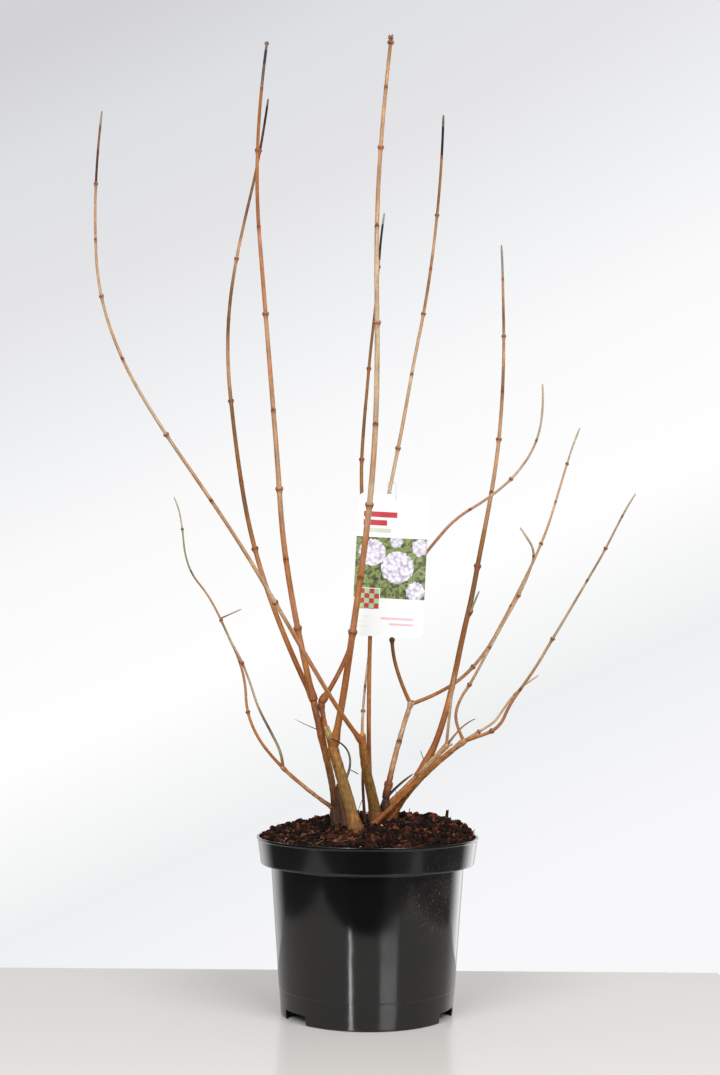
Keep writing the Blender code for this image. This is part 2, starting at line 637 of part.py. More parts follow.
def main():
    clear_scene()
    model = new_collection("snowball_viburnum")
    cutters = new_collection("cutters")
    courses = grow_all()
    for name in TRUNKS:
        add_stem(name, name, courses, model, cutters, (BARK_OLIVE, WOOD_SIDES))
    for name in LIMBS:
        add_stem(name, name, courses, model, cutters, (BARK_RUST, WOOD_SIDES))
    for name in CANES:
        add_cane(name, courses, model, cutters)
    for name, stem in TWIGS.items():
        add_stem(name, name, courses, model, cutters, (TWIG_GREY, CANE_SIDES), budded=bool(stem.rings))
    add_pot(model, cutters)
    add_potting_mix(model, cutters)
    add_card(model, cutters)
    add_tie(courses, model)


main()
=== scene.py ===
"""A leafless snowball viburnum in its nursery pot, with its finishes.

The stems are grown again by the rule of the solids and get bark, bud rings, opposite buds, branch
collars and cut wood. The potting mix gets its crumbs and bark chips, the pot its moulded gloss, and
the hang card a plain printed pattern. Lengths are in metres unless a comment says millimetres.
"""

import random
from collections import namedtuple
from math import cos, exp, hypot, pi, radians, sin, sqrt, tau

import bmesh
import bpy
import numpy as np
from mathutils import Matrix, Vector, noise


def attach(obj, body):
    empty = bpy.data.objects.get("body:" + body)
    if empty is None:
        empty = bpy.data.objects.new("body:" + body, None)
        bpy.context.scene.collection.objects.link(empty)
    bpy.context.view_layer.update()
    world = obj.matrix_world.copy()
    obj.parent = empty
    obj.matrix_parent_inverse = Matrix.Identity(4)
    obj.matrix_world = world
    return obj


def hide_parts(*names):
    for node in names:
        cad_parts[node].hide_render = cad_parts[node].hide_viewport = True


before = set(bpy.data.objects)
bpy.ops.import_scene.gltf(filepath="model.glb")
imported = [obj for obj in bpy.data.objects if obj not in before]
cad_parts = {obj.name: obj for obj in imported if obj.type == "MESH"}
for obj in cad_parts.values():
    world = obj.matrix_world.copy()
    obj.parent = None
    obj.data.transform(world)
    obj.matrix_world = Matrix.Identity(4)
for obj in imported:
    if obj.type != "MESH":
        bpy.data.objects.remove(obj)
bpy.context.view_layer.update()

MM = 0.001
WELD = 0.01 * MM
SHARP_EDGE = radians(35)
BODY = "root"

# ---- camera: at the height of a low tripod, looking a little up ----
CAMERA_PLACE = Vector((0.0033, -1.9138, 0.4387))
CAMERA_PITCH = 0.11259      # radians up from level
CAMERA_YAW = -0.00844       # radians to the right
CAMERA_ROLL = 0.00568
CAMERA_LENS = 45.11         # mm
CAMERA_SENSOR = 36          # mm along the picture's longer side

# ---- pot ----
POT_HEIGHT = 237 * MM
RIM_RADIUS = 153 * MM
LIP_REACH = 1.2 * MM
LIP_HEIGHT = 3 * MM
LIP_FALL = 0.6 * MM         # the slope of the lip's underside
COLLAR_HEIGHT = 37 * MM
COLLAR_FOOT_RADIUS = 148 * MM
WALL_TOP_RADIUS = 134 * MM
BASE_RADIUS = 118 * MM
WALL = 2.2 * MM
MOULD_LINE_HEIGHT = 36 * MM
MOULD_LINE_STEP = 0.4 * MM
FLOOR_RISE = 14 * MM
FOOT_RING_WIDTH = 3 * MM
PAD_RADIUS = 45 * MM
PAD_SLOPE = 3 * MM
NOTCHES = 3
NOTCH_WIDTH = 48 * MM
NOTCH_HEIGHT = 12.5 * MM
NOTCH_ROUND = 2 * MM
NOTCH_DEPTH = 20 * MM
FIRST_NOTCH_ANGLE = radians(-144)
POT_SEGMENTS = 160
EDGE_ROUNDING = 0.7 * MM
FOOT_ROUNDING = 1.6 * MM
FOLD_ROUNDING = 2.2 * MM    # the bend where the collar turns in to the wall

# ---- potting mix ----
MIX_MIDDLE = 250.5 * MM
MIX_RISE_RIGHT = 0.05
MIX_RISE_BACK = 0.06
MIX_EDGE = 234 * MM
MIX_EDGE_RADIUS = 149.6 * MM
MIX_SHOULDER = 46 * MM
MIX_LUMP = 1.6 * MM
MIX_LUMP_SPACING = 17 * MM
CLOD_HEIGHT = 3.6 * MM      # the loose top layer's own relief
CLOD_SPACING = 11 * MM
CLOD_MARGIN = 8 * MM        # they die away over this much beside the wall
GRAIN_HEIGHT = 1.3 * MM
GRAIN_SPACING = 3.5 * MM
MIX_CELLS = 150             # quads across the heap
MIX_SEGMENTS = 280          # and round it
MIX_SKIRT = 2 * MM          # the heap's edge goes down this far before it turns in
MIX_INSET = 3 * MM          # the mix starts this far inside the pot's outer face
CHIP_CLEARANCE = 0.5 * MM   # between loose bits and the collar

# ---- hang card and its tie ----
CARD_WIDTH = 101 * MM
CARD_HEIGHT = 205 * MM
CARD_THICK = 0.8 * MM
CARD_CORNER = 9 * MM
CARD_LEAN = radians(2.8)
CARD_MIDDLE = Vector((31, 2, 616)) * MM
CARD_HOLE = (3 * MM, 94 * MM)
CARD_HOLE_RADIUS = 2.2 * MM
CARD_BOW = 2.5 * MM         # the card bows this far out of its plane
CARD_STRIPS = 24
TIED_CANE = "behind_card"
TIE_HEIGHT = 738 * MM
TIE_THICK = 1.0 * MM
TIE_WIDTH = 9 * MM
TIE_DEPTH = 6 * MM
TIE_SIDES = 10
TIE_STATIONS = 96
TIE_NEAR = 0.002            # of the loop, to either side, gives its heading
TIE_ASIDE = Vector((0.3, 1, 0.2))       # never along the cord

# ---- how every stem grows ----
GAP = 0.3 * MM
ROOTING = 5 * MM
GROWTH_STEP = 4 * MM
ROOT_FLARE = 0.35
FLARE_REACH = 14 * MM
COLLAR_SWELL = 0.18
COLLAR_REACH = 8 * MM
BLUNT = 5                   # mm
POINT_REACH = 14 * MM
POINT_SHARE = 0.55
RING_SWELL = 0.32

Stem = namedtuple("Stem", "on at length thick side back rings", defaults=((),))
# on, at:  the stem that carries it, and how far along that one it leaves, in mm;
#          a rooted stem has no carrier, and at is the place of its foot, (x, y) in mm
# length:  along its course, in mm
# thick:   thickness at the foot and at the tip, in mm
# side:    its lean to the right (+) or left (-), in degrees, evenly spaced from foot to tip
# back:    its lean to the back (+) or front (-), in the same way
# rings:   its bud rings, in mm from the foot
TRUNKS = {
    "trunk_left": Stem(None, (-14, -46), 137, (17, 15), (-14, -18, -18), (13, 19, 22)),
    "trunk_centre": Stem(None, (13, 28), 138, (17, 11), (-7, -14, -3), (-15, -23, -15)),
    "crown_left": Stem(None, (-37, 8), 37, (18, 12), (-14, -18), (8, 11)),
    "crown_right": Stem(None, (30, 34), 40, (20, 14), (-7, -7), (4, 4)),
    "trunk_left_rear": Stem("crown_left", 35, 154, (10, 10), (-5, -14, -14, -12), (0, 1, 5, 11)),
}
LIMBS = {
    "old_stump_left": Stem("trunk_left", 132, 74, (8, 7), (-27, -4), (40, 14)),
    "limb_right_front": Stem(None, (27, 22), 170, (13, 7), (24, 38, 49, 52), (-18, -14, -11, -11)),
    "limb_right_inner": Stem("crown_right", 36, 144, (9, 7), (11, 15, 20), (7, 11, 12), (20, 84)),
    "limb_right_pale": Stem("crown_right", 24, 126, (9.5, 7), (44, 44, 43), (-12, -7, -8)),
    "limb_low_left": Stem("crown_left", 28, 103, (6, 5.4), (-60, -48), (18, 18)),
    "crossing_limb": Stem(None, (5, 10), 88, (7.7, 4.5), (42, 46, 44), (-14, -10, -2)),
    "cut_stub_left": Stem("trunk_left", 130, 29, (11, 8.4), (-17, -17), (-13, -13)),
}
CANES = {
    "tall_front": Stem("trunk_left", 126, 1008, (10, 4.8), (12.5, 8, 8, 7, 4, 1, -1, 0, 3, 5, 6),
        (-7, -9, -7, -5, -3, -2), (165, 244, 344, 458, 598, 735, 846, 933)),
    "tall_left": Stem("trunk_left_rear", 150, 965, (9, 4), (-14, -12, -9, -4, -5, -5, -5, -5, 0, 4, 7),
        (-4, -4, -5, -4, -3, -2), (104, 206, 306, 421, 560, 689, 801, 894)),
    "arched_left": Stem("trunk_left_rear", 150, 1054, (8, 3.8),
        (-28, -24.5, -21, -16, -11, -9, -7.5, -1.5, 5, 9.5, 11, 8, 6), (22, 16, 14, 13, 10, 7, 5),
        (256, 370, 508, 652, 760, 857, 958)),
    "outer_left": Stem("trunk_centre", 127, 946, (6.4, 2.8),
        (-38, -31, -30, -31, -34, -35, -31, -19, -3, 2, 6), (-24, -18, -18, -17, -15, -10, -6, -3),
        (237, 402, 506, 620, 704, 778, 850, 924)),
    "slim_centre": Stem("old_stump_left", 70, 795, (6.8, 3.4),
        (34, 24, 10, 3, -3, -2, 3, 4.5, 4.5, 6, 4, 4, 8), (6, 7, 11, 12, 10, 9, 8),
        (378, 462, 528, 606, 701)),
    "behind_card": Stem("trunk_centre", 58, 1062, (6.3, 3.8), (-3, 0, 1, 6, 11, 11, 9.5, 11, 8, 6, 4, 2),
        (0, 0, 0, 3, 12, 14, 12, 10), (488, 605, 707, 786, 881, 985)),
    "inner_right": Stem("limb_right_inner", 141, 552, (5.6, 3),
        (-27, -17, 2, 22, 38, 40, 60, 50, 32, 8, -5), (-7, -6, -4, -3, -7, -9, -9), (97, 328, 402, 470)),
    "rear_right": Stem("limb_right_inner", 141, 585, (5.4, 3),
        (72, 61, 42, 30, 29, 28, 25, 20, 19, 20, 24), (16, 16, 20, 24, 24, 18), (113, 230, 352, 435, 512)),
    "main_right": Stem("limb_right_pale", 62, 854, (9.4, 3.4),
        (37, 21, 14, 12, 14, 11, 12, 11, 9, 6, 4, 2, 0, 0, -2), (8, 8, 8, 10, 12, 10, 8, 6),
        (322, 440, 527, 607, 699, 796)),
    "front_right": Stem("limb_right_front", 167, 334, (4.4, 3),
        (-28, -18, 18, 34, 28, 27, 28, 28, 29, 26, 22, 14, -34, -38), (-14, -13, -16, -18, -18, -18),
        (87, 148, 230, 290)),
    "outer_right": Stem("limb_right_front", 167, 436, (4.8, 2.4),
        (71, 68, 20, 34, 32, 28, 29, 28, 28, 28, 24, 25, 31), (-22, -24, -26, -28, -28),
        (43, 120, 205, 302, 352, 402)),
    "low_left_rear": Stem("limb_low_left", 100, 518, (4.5, 2.4),
        (-49, -40, -24, -5, -18, -29, -27, -32, -42, -22, -9, -14, -26), (22, 20, 24, 26, 26, 26, 20),
        (104, 186, 266, 372, 455)),
}
# whole stems that are thin to their tips
TWIGS = {
    "spray_short_right": Stem("limb_right_pale", 123, 226, (4.2, 2.8), (5, 6, 14, 24),
        (-11, -10, -10, -12), (191,)),
    "spray_low_right": Stem("limb_right_front", 168, 150, (4, 2.4), (58, 60, 60, 36, 36, 44, 56, 57),
        (20, 15, 14), (25, 104)),
    "spray_low_left_front": Stem("limb_low_left", 101, 228, (4.2, 2.8), (-2, -27, -28, -17, -21, -30, -22),
        (-10, -14, -14, -12), (164,)),
    "spray_beside_card": Stem("trunk_centre", 134, 164, (4.2, 2.6), (0, 6, 7), (30, 22, 14), (41, 79)),
    "twig_dark_right": Stem("crown_right", 36, 52, (4, 2.8), (40, 56), (-4, 5)),
    "twig_beside_trunk": Stem(None, (-3, 14), 80, (4.4, 3.7), (-5, -2), (-1, -10)),
    "twig_curled": Stem("trunk_left", 72, 78, (4, 1.7), (24, 17, -10, -50, -80), (5, 5)),
    "twig_fine_right": Stem("limb_right_pale", 123, 57, (3.6, 1.8), (36, 42, 68), (-5, -5)),
    "twig_fine_left": Stem("low_left_rear", 270, 36, (2.4, 1.8), (64, 64), (17, 17)),
}
STEM_SLOTS = {"trunk_bark": TRUNKS, "limb_bark": LIMBS, "cane_bark": CANES, "twig_bark": TWIGS}
STEMS = {**TRUNKS, **LIMBS, **CANES, **TWIGS}

# ---- colours ----
BARK = {
    "stained": "#2a1c13", "olive": "#86622f", "bronze": "#93622e", "rust": "#9c5b2c",
    "orange": "#ad6f3a", "salmon": "#b57b54", "tan": "#b98e68", "beige": "#c2a583", "brown": "#7d512f",
    "umber": "#573724", "maroon": "#4f2417", "soot": "#1d1412", "grey": "#8d857a", "drab": "#625a4b",
    "dark": "#332b25", "green": "#8d9150", "pale": "#b6a988", "cutwood": "#b9a066", "knob": "#bb8c4c",
}
# bark colours of each stem, evenly spaced from foot to tip; the others have those of the last line
BARK_RUNS = {
    "trunk_left": "umber bronze olive olive olive olive bronze bronze",
    "trunk_centre": "stained brown olive olive olive bronze bronze orange",
    "crown_left": "stained umber umber",
    "crown_right": "stained stained umber",
    "trunk_left_rear": "umber brown bronze rust brown rust",
    "old_stump_left": "bronze rust brown",
    "cut_stub_left": "bronze bronze cutwood cutwood",
    "limb_right_front": "umber rust orange bronze orange orange tan",
    "limb_right_inner": "maroon rust tan tan beige tan beige",
    "limb_right_pale": "brown orange salmon tan beige tan tan",
    "limb_low_left": "brown salmon salmon orange salmon",
    "crossing_limb": "rust rust orange rust bronze",
    "tall_front": "rust orange rust salmon orange salmon beige tan beige beige beige beige beige tan tan "
                  "tan tan bronze",
    "tall_left": "rust orange salmon orange salmon tan tan tan salmon tan orange salmon rust orange rust "
                 "rust brown",
    "arched_left": "rust rust orange salmon bronze brown bronze brown tan brown brown tan brown brown "
                   "brown maroon",
    "outer_left": "rust orange salmon salmon beige tan tan tan beige beige tan beige tan tan bronze tan",
    "slim_centre": "rust rust orange salmon orange bronze brown bronze brown brown tan brown",
    "behind_card": "bronze rust orange rust orange beige beige tan beige tan bronze tan brown bronze brown",
    "inner_right": "orange bronze bronze tan salmon tan beige tan tan",
    "rear_right": "orange orange tan salmon tan tan beige tan tan",
    "main_right": "rust rust orange rust brown brown bronze tan tan tan brown tan brown tan brown",
    "front_right": "orange tan beige beige beige tan",
    "outer_right": "orange salmon tan beige beige beige tan",
    "low_left_rear": "rust orange salmon bronze tan bronze beige tan",
    "spray_short_right": "tan beige beige bronze bronze bronze tan",
    "spray_low_right": "orange beige tan pale tan",
    "spray_low_left_front": "brown pale drab beige pale tan pale bronze",
    "spray_beside_card": "orange pale beige pale tan",
    "twig_dark_right": "stained dark umber brown",
    "twig_beside_trunk": "stained umber maroon rust",
    "twig_curled": "bronze drab drab dark dark",
    "": "brown tan grey",
}
# where the bark changes at once, as above a dead bud ring: (mm from the foot, tone above it)
BARK_BREAKS = {
    "tall_left": ((900, "drab"), (930, "dark"), (952, "drab")),
    "arched_left": ((962, "maroon"), (1006, "soot"), (1040, "drab")),
    "outer_left": ((853, "maroon"), (895, "brown"), (927, "grey")),
    "slim_centre": ((712, "soot"), (775, "grey")),
    "behind_card": ((988, "soot"), (1040, "drab")),
    "main_right": ((800, "grey"),),
    "rear_right": ((516, "pale"),),
    "outer_right": ((405, "pale"),),
    "front_right": ((293, "green"), (300, "pale")),
    "inner_right": ((473, "pale"),),
    "low_left_rear": ((374, "green"), (458, "beige"), (466, "pale")),
    "spray_short_right": ((194, "green"), (206, "grey")),
}
BUD_COLOUR = "#8a4a26"
BUD_POINT = "#3a1f14"
SCAR_COLOUR = "#93512a"     # the red-brown skin of a bud ring


def linear(hex_colour):
    """Linear RGB of an sRGB hex colour."""
    values = [int(hex_colour[i:i + 2], 16) / 255 for i in (1, 3, 5)]
    return tuple(v / 12.92 if v <= 0.04045 else ((v + 0.055) / 1.055) ** 2.4 for v in values)


# ---- growth ----
def heap_top(x, y):
    """Height of the heap of potting mix away from its edge."""
    return MIX_MIDDLE + MIX_RISE_RIGHT * x + MIX_RISE_BACK * y


def grow(stem, courses):
    """Distances and points along a stem: one small step after another, each at the lean it has there."""
    if stem.on is None:
        x, y = (value * MM for value in stem.at)
        place = np.array((x, y, heap_top(x, y) - ROOTING))
    else:
        place = place_along(courses[stem.on], stem.at * MM)
    steps = round(stem.length * MM / GROWTH_STEP)
    step = stem.length * MM / steps
    points = [place]
    for count in range(steps):
        share = (count + 0.5) / steps
        side, back = (radians(np.interp(share, np.linspace(0, 1, len(leans)), leans))
                      for leans in (stem.side, stem.back))
        place = place + step * np.array((sin(side) * cos(back), sin(back), cos(side) * cos(back)))
        points.append(place)
    return np.arange(steps + 1) * step, np.array(points)


def place_along(course, mark):
    """The point at a distance along a course."""
    distances, points = course
    return np.array([np.interp(mark, distances, axis) for axis in points.T])


def thickness(stem, mark):
    """Thickness of a stem at a distance from its foot, without its bud rings."""
    length = stem.length * MM
    foot, tip = stem.thick
    thick = (foot + (tip - foot) * mark / length) * MM
    swell, reach = (ROOT_FLARE, FLARE_REACH) if stem.on is None else (COLLAR_SWELL, COLLAR_REACH)
    thick *= 1 + swell * exp(-mark / reach)
    left = length - mark
    if tip < BLUNT and left < POINT_REACH:
        thick *= POINT_SHARE + (1 - POINT_SHARE) * sqrt(max(0, left) / POINT_REACH)
    return thick


def frame_at(course, mark):
    """Place, heading, and the directions across and behind a stem at a distance along it."""
    here = Vector(place_along(course, mark))
    ahead = Vector(place_along(course, mark + GROWTH_STEP)) - Vector(place_along(course, mark - GROWTH_STEP))
    along = ahead.normalized()
    across = along.cross(Vector((0, -1, 0))).normalized()
    return here, along, -across, along.cross(across).normalized()


# ---- nodes ----
def node(tree, kind, settings=None, **links):
    """Adds a shader node: settings are its properties, links its sockets' values or sources.

    A socket is named in lower case with _ for a space, or in_0, in_1 ... by its number.
    """
    new = tree.nodes.new("ShaderNode" + kind)
    for name, value in (settings or {}).items():
        setattr(new, name, value)
    for name, value in links.items():
        if name.startswith("in_"):
            socket = new.inputs[int(name[3:])]
        else:
            socket = next(s for s in new.inputs if s.name.lower().replace(" ", "_") == name and s.enabled)
        if isinstance(value, bpy.types.NodeSocket):
            tree.links.new(value, socket)
        else:
            socket.default_value = value
    return new


def ramp(source, *stops):
    """A colour ramp from (position, hex colour or grey value) stops."""
    new = node(source.id_data, "ValToRGB", fac=source)
    ramp_stops = new.color_ramp.elements
    while len(ramp_stops) < len(stops):
        ramp_stops.new(1.0)
    for stop, (position, colour) in zip(ramp_stops, stops):
        stop.position = position
        stop.color = (*linear(colour), 1.0) if isinstance(colour, str) else (colour, colour, colour, 1.0)
    return new.outputs["Color"]


def attribute(tree, name, output):
    """An output of one of the mesh's own layers."""
    return node(tree, "Attribute", {"attribute_name": name}).outputs[output]


def object_place(tree):
    return node(tree, "TexCoord").outputs["Object"]


def mixed(share, under, over):
    """One colour or socket laid over another by a share."""
    sides = [(*linear(side), 1.0) if isinstance(side, str) else side for side in (under, over)]
    return node(share.id_data, "Mix", {"data_type": "RGBA"}, factor=share, a=sides[0], b=sides[1]).outputs[2]


def ranged(source, start, end, low, high):
    """A source that runs from low to high as it goes from start to end."""
    return node(source.id_data, "MapRange", value=source, from_min=start, from_max=end,
                to_min=low, to_max=high).outputs[0]


def spread(source, low, high):
    """A noise output stretched so that its middle part runs from low to high."""
    return ranged(source, 0.3, 0.7, low, high)


def combined(operation, a, b):
    """A sum or comparison of two values."""
    return node(a.id_data, "Math", {"operation": operation}, in_0=a, in_1=b).outputs[0]


def times(a, b):
    return combined("MULTIPLY", a, b)


def distance(place, middle):
    return node(place.id_data, "VectorMath", {"operation": "DISTANCE"}, in_0=place,
                in_1=middle).outputs["Value"]


def shaded(colour, shade):
    """A colour made lighter or darker by a shade."""
    return node(shade.id_data, "VectorMath", {"operation": "SCALE"}, vector=colour, scale=shade).outputs[0]


def noise_at(vector, size, detail=3.0, stretch=(1, 1, 1)):
    """A noise whose features are about size metres wide, drawn out by stretch."""
    tree = vector.id_data
    shrunk = node(tree, "Mapping", vector=vector, scale=tuple(1 / s for s in stretch)).outputs["Vector"]
    return node(tree, "TexNoise", vector=shrunk, scale=1 / size, detail=detail,
                roughness=0.58).outputs["Fac"]


def cells(vector, size):
    """The distance from the nearest middle of cells about size metres wide."""
    return node(vector.id_data, "TexVoronoi", vector=vector, scale=1 / size).outputs["Distance"]


def finish(name, **values):
    """A Principled material; values are sockets by name, set once for the whole surface."""
    material = bpy.data.materials.new(name)
    material.use_nodes = True
    shader = material.node_tree.nodes["Principled BSDF"]
    for socket, value in values.items():
        shader.inputs[socket.replace("_", " ")].default_value = value
    return material, material.node_tree, shader


def feed(shader, socket, source):
    shader.id_data.links.new(source, shader.inputs[socket])


def raise_relief(shader, height, strength, reach):
    """Bumps a surface by a height, up to reach in metres."""
    bump = node(shader.id_data, "Bump", strength=strength, distance=reach, height=height)
    feed(shader, "Normal", bump.outputs[0])


# ---- shapes ----
def tube(sides, rows, *layers):
    """A grid to bend into a tube, its corners with their turn and share of the length, and its layers."""
    shape = bmesh.new()
    bmesh.ops.create_grid(shape, x_segments=sides, y_segments=rows, size=0.5)
    kinds = shape.verts.layers
    made = [(kinds.float_vector if name in ("straight", "tint") else kinds.float).new(name)
            for name in layers]
    corners = [(vertex, (vertex.co.x + 0.5) * tau, vertex.co.y + 0.5) for vertex in shape.verts]
    return shape, corners, made


def close_up(shape, gap=WELD):
    """Welds a shape's seams and turns its faces outward."""
    bmesh.ops.remove_doubles(shape, verts=shape.verts, dist=gap)
    bmesh.ops.recalc_face_normals(shape, faces=shape.faces)
    return shape


def move(shape, *matrices):
    """Puts a shape through some matrices, the first one first."""
    for matrix in matrices:
        bmesh.ops.transform(shape, verts=shape.verts, matrix=matrix)


# ---- bark ----
CANE_SPACING = 1.6 * MM     # between the rings of quads along a cane
WOOD_SPACING = 1.1 * MM     # the same on trunks and limbs, which have fissures
CANE_SIDES = 16
WOOD_SIDES = 40
CUT_ENDS = ("cut_stub_left",)   # sawn stems, which show pale wood
CROWN_THICK = 12            # mm; a stump at least this thick at its top is worn to a dome
CROWN_DOME = 12 * MM
# how a tube closes: (mm past its end, share of the radius)
DOMED_TIP = ((0, 0.15),)
BLUNT_TIP = ((0.2, 0.93), (0.3, 0.6), (0.3, 0.3))
FINE_TIP = ((0.3, 0.6),)
PATTERN_SLIDE = 0.37        # metres; each stem gets its own stretch of the bark's pattern
FISSURE_SIZE = (2.2 * MM, 2.2 * MM, 14 * MM)
FISSURE_DEPTH = 0.55 * MM
LUMP_SIZE = 7 * MM
LUMP_HEIGHT = 0.35 * MM
CANE_RIBS = 0.01            # of the radius
CANE_LUMPS = 0.02           # of the radius
RING_REACH = 12 * MM        # a bud ring shows this far along its stem
RING_RISE = 3.6 * MM
RING_FALL = 2.2 * MM
RING_ROUND = 0.3            # of a ring's swelling is the same all round
RING_SIDED = 0.8            # and this much more is under its two buds
SCAR_DROP = 0.4 * MM        # the dark line of fallen leaves, just below a bud ring's middle
SCAR_WIDTH = 0.9 * MM
SCAR_SHARE = 0.8


def bark_tone(name, mark):
    """Linear bark colour of a stem at a distance from its foot."""
    run = np.array([linear(BARK[tone]) for tone in BARK_RUNS.get(name, BARK_RUNS[""]).split()])
    stops = np.linspace(0, STEMS[name].length * MM, len(run))
    colour = [np.interp(mark, stops, channel) for channel in run.T]
    for start, tone in BARK_BREAKS.get(name, ()):
        if mark > start * MM:
            colour = linear(BARK[tone])
    return colour


def stem_marks(stem, spacing):
    """(distance, share of the radius) of each ring of a tube, its two ends drawn in to points."""
    length = stem.length * MM
    count = round(length / spacing)
    body = [(length * i / count, 1.0) for i in range(count + 1)]
    tip = BLUNT_TIP if stem.thick[1] >= BLUNT else FINE_TIP
    if stem.thick[1] >= CROWN_THICK:
        body = [(mark, min(1.0, sqrt(max(0.05, (length - mark) / CROWN_DOME)))) for mark, _ in body]
        tip = DOMED_TIP
    tip = [(length + past * MM, share) for past, share in tip]
    return [(0.0, 0.0)] + body + tip + [(tip[-1][0], 0.0)]


def ring_swell(offset):
    """How much thicker a stem is near a bud ring: rising slowly below it and falling fast above."""
    return exp(-(offset / (RING_RISE if offset < 0 else RING_FALL)) ** 2)


# swollen feet, where a stem leaves an older one: (mm from the foot, share of the radius added, half length)
SWOLLEN = {
    "tall_front": ((12, 0.42, 11),), "outer_left": ((6, 0.5, 9),), "tall_left": ((6, 0.3, 9),),
    "arched_left": ((7, 0.3, 9),), "slim_centre": ((7, 0.7, 8),), "trunk_centre": ((4, 0.5, 14),),
    "main_right": ((22, 0.3, 12), (40, 0.12, 8)), "trunk_left": ((0, 0.16, 18), (132, 0.1, 10)),
    "crown_left": ((2, 0.5, 18), (32, 0.5, 12)), "crown_right": ((10, 0.35, 18),),
    "limb_right_inner": ((10, 0.22, 9), (142, 0.5, 5)), "limb_right_front": ((6, 0.45, 14), (164, 0.35, 7)),
    "limb_right_pale": ((121, 0.3, 7), (84, 0.12, 6)), "limb_low_left": ((4, 0.5, 7), (100, 0.35, 6)),
    "trunk_left_rear": ((98, 0.15, 9),), "old_stump_left": ((66, 0.4, 8),), "crossing_limb": ((2, 0.4, 10),),
}


def foot_swell(name, mark):
    """The share that the swollen places add to a stem's radius."""
    return sum(share * exp(-((mark / MM - middle) / half) ** 2)
               for middle, share, half in SWOLLEN.get(name, ()))


def bark_tube(name, stem, course, woody):
    """A closed tube of bark round a stem's course, with its rings, scars, ribs and fissures."""
    spacing, sides = (WOOD_SPACING, WOOD_SIDES) if woody else (CANE_SPACING, CANE_SIDES)
    marks = stem_marks(stem, spacing)
    shape, corners, layers = tube(sides, len(marks) - 1, "straight", "tint", "knot", "scar", "heart")
    straight, tint, knot, scar, heart = layers
    slide = list(STEMS).index(name) * PATTERN_SLIDE
    length = stem.length * MM
    stations = []
    for mark, share in marks:
        here, _, across, out = frame_at(course, mark)
        near = [(mark - ring * MM, i) for i, ring in enumerate(stem.rings)
                if abs(mark - ring * MM) < RING_REACH]
        radius = thickness(stem, min(mark, length)) / 2 * (1 + foot_swell(name, mark))
        stations.append((mark, share, here, across, out, radius, near, bark_tone(name, mark)))
    for vertex, turn, row in corners:
        station = stations[round(row * (len(marks) - 1))]
        mark, share, here, across, out, radius, near, colour = station
        swell, closeness, line = 0.0, 0.0, 0.0
        for offset, i in near:
            amount = ring_swell(offset)
            facing = cos(turn - (pi / 2 if i % 2 else 0)) ** 2
            swell += RING_SWELL * amount * (RING_ROUND + RING_SIDED * facing)
            closeness = max(closeness, amount)
            line = max(line, SCAR_SHARE * exp(-((offset + SCAR_DROP) / SCAR_WIDTH) ** 2))
        flat = Vector((cos(turn) * radius, sin(turn) * radius, mark + slide))
        if woody:
            grain = noise.noise(Vector(axis / size for axis, size in zip(flat, FISSURE_SIZE)))
            relief = LUMP_HEIGHT * noise.noise(flat / LUMP_SIZE) - FISSURE_DEPTH * (1 - abs(grain)) ** 6
        else:
            relief = radius * (CANE_RIBS * cos(6 * turn) + CANE_LUMPS * noise.noise(flat / (3 * MM)))
        reach = (radius * (1 + swell) + relief) * share
        vertex.co = here + (across * cos(turn) + out * sin(turn)) * reach
        vertex[straight] = flat
        vertex[tint] = colour
        vertex[knot] = closeness
        vertex[scar] = line
        vertex[heart] = 1.0 if name in CUT_ENDS and share < 0.9 and mark > length / 2 else 0.0
    return close_up(shape, WELD / 10)


BUD_LENGTH = 5.6 * MM
BUD_THICK = 3.1 * MM
BUD_BELLY = 0.5 * MM
BUD_SPLAY = radians(7)
BUD_SEAT = 0.95             # a bud's root, as a share of its stem's radius
CROWDED_SEAT = 0.6          # the same in a cluster at a tip
BUD_DROP = 1.5 * MM         # and how far it is below its ring's middle
BUD_GIRTHS, BUD_SIZES = (2 * MM, 7 * MM), (0.62, 1.15)     # bud size by the thickness of its stem
# clusters of buds at a tip: (distance below the tip, how many, size, splay)
TIP_BUDS = {
    "tall_front": ((13 * MM, 4, 1.35, radians(16)), (6 * MM, 3, 1.5, radians(9))),
    "tall_left": ((6 * MM, 2, 1.0, radians(14)),),
    "spray_short_right": ((34 * MM, 3, 1.3, radians(30)),),
}


def add_bud(shape, place, along, out, size, splay=BUD_SPLAY):
    """A pointed bud of two scales, pressed close to its stem."""
    new = bmesh.ops.create_uvsphere(shape, u_segments=8, v_segments=7, radius=0.5)["verts"]
    for vertex in new:
        x, y, z = vertex.co
        up = z + 0.5
        girth = BUD_THICK * (1 - up) ** 0.4 * (0.95 + 0.3 * up)
        vertex.co = (x * girth + BUD_BELLY * sin(pi * up), y * girth, up * BUD_LENGTH)
    lean = (along * cos(splay) + out * sin(splay)).normalized()
    side = out.cross(along).normalized()
    belly = side.cross(lean).normalized()
    turn = Matrix((-belly, side, lean)).transposed().to_4x4()
    bmesh.ops.transform(shape, verts=new, matrix=Matrix.Translation(place) @ turn @ Matrix.Scale(size, 4))
    return new


